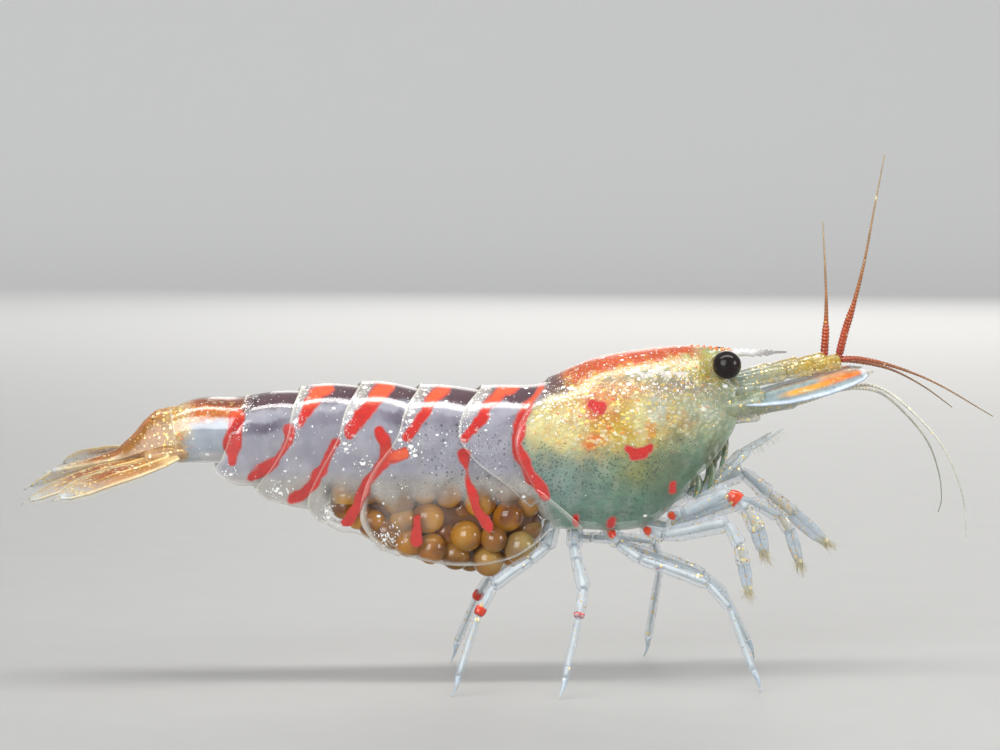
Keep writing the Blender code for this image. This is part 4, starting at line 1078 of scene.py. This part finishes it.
class Bristles:
    """Fine solid hairs gathered into one mesh, each with its own patch of the bake map."""

    SIDES = 3

    def __init__(self):
        self.points, self.faces, self.colours, self.places = [], [], [], []

    def add(self, root, tip, sag, radius, colour, place):
        root, tip, sag = (np.array(v, float) for v in (root, tip, sag))
        along = tip - root
        across = direction(np.cross(along, (0.31, 0.55, 0.77)))
        upright = np.cross(direction(along), across)
        start, patch = len(self.points), []
        for t, width in ((0.0, 1.0), (0.5, 0.72)):
            centre = root + along * t + sag * t * t
            for k in range(self.SIDES):
                turn = 2 * math.pi * k / self.SIDES
                out = across * math.cos(turn) + upright * math.sin(turn)
                self.points.append(centre + out * radius * width)
                patch.append((place[0] + 0.0015 * t, place[1] + 0.001 * k))
        self.points.append(root + along + sag)
        patch.append((place[0] + 0.003, place[1] + 0.001))
        for k in range(self.SIDES):
            n = (k + 1) % self.SIDES
            self.faces.append((start + k, start + n, start + self.SIDES + n, start + self.SIDES + k))
            self.faces.append((start + self.SIDES + k, start + self.SIDES + n, start + 2 * self.SIDES))
        self.faces.append(tuple(start + k for k in reversed(range(self.SIDES))))
        self.colours += [colour] * len(patch)
        self.places += patch

    def make(self, name, material, slot):
        item = make_object(name, self.points, self.faces, material, {"tint": self.colours})
        layer = item.data.uv_layers.new(name="OFBake")
        corners = np.zeros(len(item.data.loops), np.int32)
        item.data.loops.foreach_get("vertex_index", corners)
        places = np.array(self.places)[corners]
        layer.data.foreach_set("uv", np.clip(places, 0, 1).astype(np.float32).ravel())
        return finish_piece(item, slot)


def build_legs(materials, hairs):
    """Six walking legs, each a clear cuticle round a milky core."""
    sides, claw = 20, len(LEG_WIDTHS) - 1
    for (leg, side), joints in WALKING_LEGS.items():
        word = dict(SIDES)[side]
        skins, cores = [], []
        for i, size in enumerate(LEG_WIDTHS):
            start, end = np.array(joints[i]), np.array(joints[i + 1])
            length = math.dist(start, end)
            if i == claw:
                path, _, _ = segment(start, end, size, size, bend=(0.05, 0, 0.02), steps=16)
                wide = high = size * np.linspace(1.1, 0.14, len(path))
            else:
                path, wide, high = segment(start, end, size * 0.86, size, bend=(0, 0, 0.05 * (i == 2)),
                                           waist=0.9, flare=1.0)
            along = np.linspace(0, length, len(path))
            red = NO_BAND
            if leg == "leg_3" and i == 0:
                red = blots(along, [0.35, 0.5], size, 0.15, sides, side)
            if leg != "leg_3" and i == 3:
                red = np.abs(along - (length - 0.1)) - (0.2 if leg == "leg_5" else 0.03)
            skins.append(limb_part(path, wide, high, LIMB_LEAN, sides, LIMB_ICE, 0.7 if i == claw else 0.15,
                                   0.35, stripe=red, gold=0.05, dots=0.12))
            if i < claw:
                cores.append(core_part(path, wide, high, LIMB_CORE, red if i else NO_BAND, 0.3))
            for k in range(3 if i in (3, 4) else 0):
                t = RNG.uniform(0.2, 0.95)
                root = start + (end - start) * t
                out = np.array((RNG.choice([-1, 1]) * 0.5, side * 0.2, -0.3)) * 0.35
                hairs.add(root + out * size, root + out * 1.3 + (0, 0, -0.12), (0, 0, -0.03), 0.012,
                          tone(200, 190, 160), (0.05 + 0.1 * i + 0.03 * k, 0.1 + 0.12 * t))
        tip = np.array(joints[-1])
        back = np.array(joints[-2]) - tip
        for k in range(4):
            root = tip + back * (0.12 + 0.17 * k)
            hairs.add(root, root + (0.06 * side, 0, -0.1) - back * 0.05, (0, 0, 0), 0.014,
                      tone(180, 160, 120), (0.9, 0.1 + 0.2 * k))
        make_limb(f"{leg}_{word}_skin", skins, materials["glass"], "limbs", f"{leg}_{word}")
        make_limb(f"{leg}_{word}_core", cores, materials["glass_core"], "limbs", f"{leg}_{word}")


def build_claw_arms(materials, hairs):
    """Four claw arms, each ending in a palm, two fingers and a brush of bristles."""
    sides = 22
    for (arm, side), joints in CLAW_ARMS.items():
        word = dict(SIDES)[side]
        skins, cores = [], []
        for i, size in enumerate(CLAW_WIDTHS[arm]):
            length = math.dist(joints[i], joints[i + 1])
            path, wide, high = segment(joints[i], joints[i + 1], size * 0.72, size,
                                       waist=0.62 if i in (1, 2) else 0.85, flare=1.2 if i == 2 else 1.05)
            along = np.linspace(0, length, len(path))
            red = NO_BAND
            if i == 0:
                red = blots(along, [0.4 * length], size, 0.18, sides, side)
            if i == 2 and (arm, side) == ("cheliped_1", RIGHT):
                red = np.abs(along - 0.2 * length) - 0.3
            skins.append(limb_part(path, wide, high, LIMB_LEAN, sides, LIMB_ICE, 0.16, 0.55, stripe=red,
                                   gold=0.3 if i == 3 else 0.06, dots=0.1))
            cores.append(core_part(path, wide, high, mix(LIMB_CORE, YELLOW, 0.25 * (i == 3)),
                                   red if i else NO_BAND, 0.5))
        palm = np.array(joints[-2])
        reach = np.array(joints[-1]) - palm
        forward = direction(reach)
        spread = direction(np.cross(forward, (0, 1, 0)))
        for way in (-1, 1):
            t = np.linspace(0, 1, 20)
            path = (palm - forward * 0.1 + reach * t[:, None] * (1.0 if way > 0 else 0.93)
                    + spread * way * size * (0.4 + 0.14 * np.sin(math.pi * t) - 0.22 * t)[:, None])
            wide = size * np.interp(t, [0, 0.15, 0.7, 1], [0.45, 0.5, 0.4, 0.12])
            tint = coat(LIMB_ICE, (ramp(0.6, 1.0, t) * 0.7, tone(238, 226, 150)))
            skins.append(limb_part(path, wide * 0.8, wide, LIMB_LEAN, 14, tint, 0.42, 0.6, gold=0.12,
                                   dots=0.05))
            for k in range(46):
                at = RNG.uniform(0.72, 1.0)
                root = path[int(at * 19)] + RNG.normal(size=3) * 0.02
                sway = RNG.normal(size=3) * 0.22
                tip = root + forward * RNG.uniform(0.3, 0.55) * (1.35 - 0.5 * at) + sway * 0.5
                hairs.add(root, tip, sway * 0.1, 0.009, tone(232, 214, 150),
                          (0.1 + 0.8 * at, 0.5 + 0.2 * way + 0.004 * k))
        make_limb(f"{arm}_{word}_skin", skins, materials["glass"], "limbs", f"{arm}_{word}")
        make_limb(f"{arm}_{word}_core", cores, materials["glass_core"], "limbs", f"{arm}_{word}")


JAW_FEET = {RIGHT: [(6.7, -0.62, 7.0), (7.6, -0.66, 7.45), (8.9, -0.8, 8.75), (10.2, -0.95, 9.6)],
            LEFT: [(6.7, 0.62, 7.0), (7.6, 0.66, 7.4), (8.8, 0.82, 8.6), (10.0, 0.98, 9.3)]}
# Mouthparts beside the midline: the top (X, Y, Z), how far they hang, and their half width.
MOUTH_LEAVES = [(7.98, 0.3, 9.5, 1.0, 0.2), (7.9, 0.62, 9.3, 1.2, 0.24), (7.55, 0.2, 8.75, 1.1, 0.19),
                (7.42, 0.58, 8.4, 1.15, 0.26), (7.0, 0.24, 7.8, 0.95, 0.22), (6.85, 0.85, 7.9, 0.95, 0.24)]


def build_mouth(materials, hairs):
    """Jaw feet reaching forward below the head, and the leafy mouthparts behind them."""
    for side, word in SIDES:
        parts = []
        for i, size in enumerate((0.19, 0.15, 0.11)):
            path, wide, high = segment(JAW_FEET[side][i], JAW_FEET[side][i + 1], size * 0.8, size)
            taper = np.linspace(1, 0.25 if i == 2 else 1, len(path))
            parts.append(limb_part(path, wide * taper, high * taper, (0, 1, 0.1), 18,
                                   mix(LIMB_ICE, SAGE, 0.25), 0.25, gold=0.1, dots=0.15))
            for k in range(26 if i == 2 else 8):
                t = RNG.uniform(0.1, 1.0)
                root = path[int(t * (len(path) - 1))]
                out = np.array((0.12, side * 0.06, -0.3)) + RNG.normal(size=3) * 0.05
                hairs.add(root, root + out, (0.05, 0, 0), 0.009, tone(210, 210, 180),
                          (0.1 + 0.8 * t, 0.3 + 0.02 * k))
        make_limb(f"jaw_foot_{word}", parts, materials["glass"], "limbs", f"maxilliped_{word}")
    leaves = []
    for side in (RIGHT, LEFT):
        for x, y, z, reach, broad in MOUTH_LEAVES:
            t = np.linspace(0, 1, 20)[:, None]
            path = (np.array((x, side * y, z)) + np.array((-0.1, side * 0.12, -1.0)) * reach * t
                    + np.array((0.16, 0, 0)) * np.sin(math.pi * t))
            shape = np.interp(t[:, 0], [0, 0.2, 0.6, 0.9, 1.0], [0.5, 0.9, 1.0, 0.6, 0.15])
            leaves.append(limb_part(path, broad * shape, 0.4 * broad * shape, (0.25, side, 0), 18,
                                    mix(tone(196, 200, 168), SAGE, t), 0.72, 0.0, gold=0.2, dots=0.3))
            for k in range(14):
                at, way = 6 + k, (-1, 1)[k % 2]
                root = path[at] + (0.03, way * broad * shape[at] * 0.9, 0)
                hairs.add(root, root + (0.06, way * 0.12, -0.16), (0, 0, -0.03), 0.009, tone(216, 210, 176),
                          (0.05 + 0.04 * at, 0.6 + 0.02 * k))
    make_limb("mouth_leaves", leaves, materials["glass"], "limbs")


# ---------------------------------------------------------------------- feelers, blades, fringes

# Whips of the feelers: (share of the length, radius), (share, colour), distance of the rings, node.
FEELER_KINDS = {
    "top_outer": ([(0, 0.12), (0.03, 0.155), (0.2, 0.14), (0.27, 0.09), (0.5, 0.05), (1.0, 0.022)],
                  [(0, tone(164, 44, 6)), (0.2, tone(188, 74, 12)), (0.34, tone(166, 96, 36)),
                   (1.0, tone(186, 170, 130))], 0.13, "antennule_outer"),
    "top_inner": ([(0, 0.13), (0.15, 0.09), (0.5, 0.045), (1.0, 0.02)],
                  [(0, tone(172, 62, 14)), (0.3, tone(150, 84, 40)), (1.0, tone(160, 140, 106))], 0.14,
                  "antennule_inner"),
    "long": ([(0, 0.14), (0.12, 0.1), (0.4, 0.06), (1.0, 0.02)],
             [(0, tone(206, 200, 176)), (0.3, tone(226, 220, 200)), (1.0, tone(170, 170, 158))], 0.16,
             "antenna_feeler"),
}
FEELERS = {
    ("top_outer", "right"): [
        (12.36, -0.52, 12.3), (12.6, -0.58, 13.3), (12.95, -0.7, 14.5), (13.3, -0.78, 16.0),
        (13.65, -0.86, 18.0), (14.02, -0.9, 20.0)],
    ("top_outer", "left"): [
        (11.95, 0.52, 12.2), (12.02, 0.58, 13.2), (12.05, 0.66, 14.3), (12.0, 0.74, 15.8),
        (11.92, 0.82, 17.4)],
    ("top_inner", "right"): [
        (12.35, -0.5, 12.2), (13.3, -0.55, 12.2), (14.65, -0.7, 11.86), (16.16, -1.0, 11.23),
        (18.15, -1.45, 10.05)],
    ("top_inner", "left"): [
        (12.0, 0.5, 12.1), (13.1, 0.7, 12.05), (14.6, 1.2, 11.7), (16.0, 1.9, 11.0), (17.3, 2.6, 10.1)],
    ("long", "right"): [
        (9.2, -0.75, 10.2), (11.0, -0.6, 10.6), (12.6, -0.62, 11.1), (13.65, -1.05, 11.2),
        (14.6, -1.95, 10.62), (15.8, -3.0, 9.27), (16.35, -3.9, 7.95), (16.5, -4.7, 6.8), (16.4, -5.5, 5.9)],
    ("long", "left"): [
        (9.2, 0.75, 10.2), (11.0, 0.6, 10.5), (12.6, 0.62, 10.95), (13.9, 1.2, 10.9), (14.98, 2.2, 10.3),
        (16.4, 3.4, 8.83), (17.1, 4.4, 7.43), (17.35, 5.1, 6.3), (17.3, 5.5, 5.7)],
}
LEFT_STEM_SHIFT = -0.4    # along X: the left feeler stem reaches less far forward


def build_feelers(material):
    """Ringed whips, darker at the end of each ring."""
    for (kind, word), stations in FEELERS.items():
        radii, colours, period, node = FEELER_KINDS[kind]
        path, at = even_path(smooth_path(stations, 60), pitch=period / 5)
        t, ring = at / at[-1], (at / period) % 1.0
        radius = read_line(radii, t)
        radius = radius * (1 + 0.13 * np.sin(2 * np.pi * ring) * (radius > 0.03))
        tints = [read_line([(place, colour[i]) for place, colour in colours], t) for i in range(3)]
        tints = np.column_stack(tints) * (1 - 0.3 * ramp(0.72, 0.95, ring))[:, None]
        part = limb_part(path, radius, radius, (0, 1, 0.1), 10, tints, 0.95, gold=0.04)
        make_limb(f"feeler_{kind}_{word}", [part], material, "feelers", f"{node}_{word}")


# Joint-pieces at the root of each long feeler: start, end, half width, colour, cover, gold.
FEELER_BASES = (((7.9, 0.9, 10.35), (9.5, 1.2, 10.72), 0.44, tone(176, 184, 150), 0.42, 0.15),
                ((9.2, 0.75, 10.35), (10.7, 0.7, 10.62), 0.26, tone(186, 196, 186), 0.4, 0.1),
                ((8.0, 0.7, 11.0), (9.3, 0.85, 11.12), 0.36, tone(170, 180, 160), 0.45, 0.2),
                ((8.0, 0.7, 9.95), (9.3, 0.8, 10.15), 0.27, tone(190, 190, 160), 0.3, 0.1))


def build_peduncles(materials):
    """Three-jointed feeler stems and the stout base of each long feeler."""
    lean, sides = (0, 1, 0), 24
    for side, word in SIDES:
        shift = LEFT_STEM_SHIFT if side == LEFT else 0.0
        stem = mirrored([(8.35, 0.45, 11.32), (10.35 + shift, 0.5, 11.72), (11.4 + shift, 0.52, 11.93),
                         (12.42 + shift, 0.53, 12.12)], side)
        parts = []
        for i, size in enumerate((0.33, 0.33, 0.31)):
            path, wide, high = segment(stem[i], stem[i + 1], size, size, waist=0.88, flare=1.06)
            golden = np.clip(np.linspace(i, i + 1, len(path)) * 0.55, 0, 1)[:, None]
            tint = mix(tone(160, 180, 172), tone(198, 170, 64), golden)
            parts.append(limb_part(path, wide, high, lean, sides, tint, 0.5, 1.0, gold=(0.3, 0.45, 0.5)[i],
                                   dots=0.1))
        make_limb(f"feeler_stem_{word}", parts, materials["glass"], "head_shell", f"antennule_base_{word}")
        parts = []
        for start, end, size, tint, cover, gold in FEELER_BASES:
            path, wide, high = segment(*mirrored((start, end), side), size, size, waist=0.85)
            parts.append(limb_part(path, wide, high, lean, sides, tint, cover, 1.0, gold=gold, dots=0.15))
        make_limb(f"feeler_base_{word}", parts, materials["glass"], "head_shell", f"antenna_base_{word}")


def blade(name, stations, profile, camber, paint_of, material, slot, node, thickness, roll=0.0, steps=70,
          across=25, lean=None):
    """Thin leaf along a path of (X, Y, Z) stations; returns its grid of points for the fringe."""
    path, _ = even_path(smooth_path(stations, 24), steps)
    outward, roll = -1 if stations[-1][1] < 0 else 1, math.radians(roll)
    side_way, upright = frames_along(path, lean or (0, outward * math.cos(roll), -math.sin(roll)))
    if np.mean(upright[:, 2]) < 0:
        upright = -upright
    t, s = np.linspace(0, 1, steps), np.linspace(-1, 1, across)
    width = read_line(profile, t)
    rise = read_line(camber, t) * width
    grid = (path[:, None] + side_way[:, None] * (width[:, None] * s)[..., None]
            + upright[:, None] * (rise[:, None] * (1 - s**2))[..., None])
    marks = paint_of(*(values.ravel() for values in np.meshgrid(t, s, indexing="ij")))
    item = make_object(name, grid.reshape(-1, 3), grid_faces(steps, across), material, marks)
    finish_piece(thicken(item, thickness, offset=0), slot, node)
    return grid


def fringe(hairs, edge, inner, count, length, colour, radius=0.011, row=0.0, droop=(0, 0, -0.02)):
    """Bristles that stand out from an edge, away from the line of points `inner`."""
    for k, place in enumerate(np.linspace(0, len(edge) - 1, count)):
        low = int(min(place, len(edge) - 2))
        root, base = (mix(line[low], line[low + 1], place - low) for line in (edge, inner))
        out = root - base
        out /= max(np.linalg.norm(out), 1e-6)
        tip = root + out * (length * RNG.uniform(0.85, 1.1))
        hairs.add(root - out * 0.03, tip, droop, radius, colour, (0.03 + 0.93 * k / count, 0.1 + row))


def paint_scale(t, s):
    """Grey-blue scale with a gold stripe that turns orange, and clear pale edges."""
    stripe = ramp(0.5, 0.12, np.abs(s - mix(0.25, -0.1, t))) * ramp(0.22, 0.42, t)
    upper = ramp(0.55, 0.7, t) * ramp(0.1, -0.3, s)
    streaks, outer = np.maximum(stripe, upper), ramp(0.62, 0.85, s)
    colour = coat(tone(150, 172, 176),
                  (ramp(-0.2, -0.6, s), tone(176, 196, 196)),
                  (stripe, mix(tone(240, 168, 50), tone(246, 120, 40), ramp(0.5, 0.85, t)[:, None])),
                  (outer, tone(214, 226, 240)),
                  (0.7 * upper, tone(236, 136, 60)),
                  (ramp(0.94, 0.98, t), tone(226, 238, 250)))
    return glass_marks(colour, 0.5 + 0.35 * streaks + 0.3 * outer, gold=0.35 * streaks, dots=0.05)


def build_scales(material, hairs):
    """Leaf-shaped feeler scales with a gold stripe and bristles along one edge and the tip."""
    stations = [(8.7, 1.3, 10.6), (10.3, 1.5, 10.9), (11.6, 1.5, 11.22), (12.6, 1.42, 11.52),
                (13.3, 1.36, 11.72)]
    profile = [(0, 0.2), (0.1, 0.36), (0.35, 0.58), (0.65, 0.64), (0.85, 0.56), (0.95, 0.4), (1.0, 0.2)]
    pale = tone(214, 214, 200)
    for side, word in SIDES:
        grid = blade(f"feeler_scale_{word}", mirrored(stations, side), profile, [(0, 0.14), (1, 0.14)],
                     paint_scale, material, "head_shell", f"antenna_scale_{word}", 0.08, roll=28)
        fringe(hairs, grid[16:, 0], grid[16:, 6], 90, 0.34, pale, row=0.05)
        fringe(hairs, grid[-1], grid[-8], 16, 0.34, pale, row=0.1)


# ------------------------------------------------------------------------------------------ tail

FAN_TILT = 0.12           # the fan is rolled a little, its far side up
# Blades of the tail fan on the left: stations, then (share of the length, half width).
FAN_BLADES = {
    "inner": ([(-12.9, 0.45, 8.8), (-14.4, 0.8, 8.5), (-15.8, 1.0, 8.2), (-17.2, 1.2, 7.72),
               (-18.3, 1.28, 7.24)],
              [(0, 0.2), (0.15, 0.34), (0.5, 0.5), (0.8, 0.48), (0.94, 0.3), (1.0, 0.08)]),
    "outer": ([(-12.8, 0.95, 8.76), (-14.1, 1.7, 8.5), (-15.2, 2.3, 8.3), (-16.3, 2.8, 8.02),
               (-17.1, 3.05, 7.72)],
              [(0, 0.24), (0.15, 0.42), (0.5, 0.62), (0.8, 0.64), (0.94, 0.42), (1.0, 0.12)]),
}
TELSON_LINE = [(-12.7, 0, 8.98), (-13.3, 0, 8.92), (-14.2, 0, 8.72), (-15.0, 0, 8.5), (-15.7, 0, 8.36),
               (-16.8, 0, 8.17), (-17.5, 0, 8.05)]
TELSON_PROFILE = [(0, 0.76), (0.12, 0.7), (0.5, 0.46), (0.85, 0.32), (0.96, 0.24), (1.0, 0.14)]
TELSON_ARCH = [(0, 1.95), (0.12, 2.0), (0.22, 1.7), (0.31, 1.25), (0.47, 0.68), (0.65, 0.45), (1, 0.4)]


def paint_fan(t, s, inner_edge=-1):
    """Amber with a pale root, a brown streak, gold grains along the inner edge and a clear pale tip."""
    streak = ramp(0.5, 0.2, np.abs(s - 0.3 * inner_edge)) * ramp(0.25, 0.45, t) * ramp(0.9, 0.7, t)
    rim = ramp(0.7, 0.92, np.abs(s))
    colour = coat(tone(198, 134, 66),
                  (ramp(0.25, 0.05, t), tone(236, 206, 150)),
                  (0.9 * streak, tone(158, 74, 26)),
                  (ramp(0.62, 0.95, t), tone(206, 200, 184)),
                  (0.7 * rim, tone(240, 222, 178)),
                  (ramp(0.9, 1.0, t), tone(222, 232, 240)))
    return glass_marks(colour, mix(0.66, 0.28, ramp(0.3, 0.8, t)) + 0.4 * rim + 0.3 * streak,
                       gold=0.25 + 0.6 * ramp(0.3, 0.8, s * inner_edge), dots=0.12)


def paint_telson(t, s):
    """The fan's colours, darker amber over the middle of the root."""
    s = np.abs(s)
    colour = coat(paint_fan(t, s, 1)["tint"],
                  (0.8 * ramp(0.6, 0.3, t), tone(168, 108, 30)),
                  (0.6 * ramp(0.5, 0.2, s) * ramp(0.5, 0.3, t), tone(196, 96, 30)),
                  (0.8 * ramp(0.12, 0.0, t), tone(238, 206, 140)))
    return glass_marks(colour, mix(0.62, 0.4, ramp(0.3, 1.0, t)),
                       gold=0.1 + 0.6 * ramp(0.16, 0.05, t) + 0.5 * ramp(0.3, 0.1, s), dots=0.12)


def build_tail(material, hairs):
    """Four blades with a rib each, the telson between them, and the roots of both sides."""
    pale = tone(216, 208, 184)
    for side, word in SIDES:
        for row, (part, (stations, profile)) in enumerate(FAN_BLADES.items()):
            stations = mirrored(stations, side)
            stations[:, 2] += FAN_TILT * stations[:, 1]
            grid = blade(f"tail_fan_{part}_{word}", stations, profile, [(0, 0.3), (0.3, 0.12), (1, 0.1)],
                         paint_fan, material, "tail_fan", f"uropod_{part}_{word}", 0.09, roll=22)
            fringe(hairs, grid[26:, 0], grid[26:, 6], 80, 0.3, pale, row=0.1 * row)
            fringe(hairs, grid[26:, -1], grid[26:, -7], 80, 0.3, pale, row=0.1 * row + 0.03)
            fringe(hairs, grid[-1], grid[-9], 18, 0.38, pale, row=0.1 * row + 0.06)
            rib = grid[4:-14, grid.shape[1] // 2]
            size = np.linspace(0.1, 0.03, len(rib))
            rib = limb_part(rib, size, size, (0, 1, 0), 10, tone(230, 190, 120), 0.85, 1.0, gold=0.3)
            make_limb(f"tail_rib_{part}_{word}", [rib], material, "tail_fan")
    grid = blade("telson_plate", TELSON_LINE, TELSON_PROFILE, TELSON_ARCH, paint_telson, material,
                 "tail_fan", "telson", 0.14, across=41, lean=(0, 1, 0))
    fringe(hairs, grid[-1], grid[-8], 12, 0.36, tone(222, 212, 186), radius=0.016, row=0.3)
    for k in range(4):
        for column, way in ((0, -1), (-1, 1)):
            place = grid[22 + 11 * k, column]
            hairs.add(place, place + (-0.16, 0.05 * way, 0.05), (0, 0, 0), 0.018, tone(226, 190, 120),
                      (0.2 + 0.15 * k, 0.5))
    for side, word in SIDES:
        ends = mirrored([(-12.4, 0.5, 8.82), (-14.0, 0.95, 8.6)], side)
        path, wide, high = segment(*ends, 0.45, 0.28, waist=0.9)
        root = limb_part(path, wide, high, (0, 1, 0), 24, tone(226, 176, 132), 0.5, 1.0, gold=0.35)
        make_limb(f"tail_fan_root_{word}", [root], material, "tail_fan")


# Swimmerets: X, distance from the middle, top and tip level, how far they lean back, half width.
SWIMMERETS = {
    1: (-0.25, 0.55, 7.6, 4.9, 0.1, 0.5),
    2: (-2.0, 0.55, 7.65, 4.5, 0.4, 0.52),
    3: (-4.3, 0.55, 7.75, 5.0, 0.7, 0.52),
    4: (-6.95, 0.5, 7.85, 6.9, 0.7, 0.44),
    5: (-9.2, 0.45, 8.05, 7.5, 0.7, 0.38),
}


def paint_swimmeret(t, s):
    colour = coat(tone(210, 212, 206), (ramp(0.6, 0.95, np.abs(s)), tone(232, 230, 218)))
    cover = -0.1 + 0.3 * ramp(0.7, 0.95, np.abs(s)) + 0.16 * ramp(0.75, 1.0, t)
    return glass_marks(colour, cover, dots=0.03)


def build_swimmerets(material, hairs):
    """Two clear leaves to each swimmeret, fringed on both edges."""
    for number, (x, reach, top, tip, lean, half) in SWIMMERETS.items():
        shape = [(0, 0.5), (0.15, 0.7), (0.45, 1.0), (0.8, 0.8), (0.95, 0.45), (1.0, 0.12)]
        profile = [(place, half * share) for place, share in shape]
        for side, word in SIDES:
            for part, out, shift in (("a", 0.12, 0.0), ("b", -0.16, 0.16)):
                stations = [(x - lean * t + shift * t, side * (reach + out), mix(top, tip + shift, t))
                            for t in (0, 0.35, 0.7, 1.0)]
                grid = blade(f"swimmeret_{number}{part}_{word}", stations, profile, [(0, 0.1), (1, 0.1)],
                             paint_swimmeret, material, "limbs", f"swimmeret_{number}_{word}", 0.06,
                             steps=40, across=17, lean=(1, 0, 0))
                for way, row in ((0, 0.1), (-1, 0.14)):
                    fringe(hairs, grid[18:, way], grid[18:, 8], 30, 0.22, tone(214, 206, 180), radius=0.008,
                           row=row + 0.05 * number, droop=(-0.02, 0, -0.05))


# ------------------------------------------------------------------------------------------ make

build_camera()
build_studio()
build_floor()
SHELL = shell_look("clear_shell")
HEAD_SHELL = shell_look("grainy_shell", gloss=0.3, grain=0.4, haze=0.1)
GLASS = glass_look("glassy_cuticle")
LOOKS = {"glass": GLASS, "glass_core": glass_look("milky_core", core=True), "eye": eye_look()}
BRISTLE = bristle_look()

build_flesh(flesh_look())
build_abdomen(SHELL)
build_carapace(HEAD_SHELL)
build_eggs(egg_look())
build_rostrum(GLASS)
build_eyes(LOOKS)
tail_hairs, head_hairs, limb_hairs, belly_hairs = Bristles(), Bristles(), Bristles(), Bristles()
build_legs(LOOKS, limb_hairs)
build_claw_arms(LOOKS, limb_hairs)
build_mouth(LOOKS, head_hairs)
build_feelers(glass_look("ringed_feelers"))
build_peduncles(LOOKS)
build_scales(GLASS, head_hairs)
build_tail(GLASS, tail_hairs)
build_swimmerets(GLASS, belly_hairs)
tail_hairs.make("tail_bristles", BRISTLE, "tail_fan")
head_hairs.make("head_bristles", BRISTLE, "feelers")
limb_hairs.make("limb_bristles", BRISTLE, "limbs")
belly_hairs.make("belly_bristles", BRISTLE, "limbs")
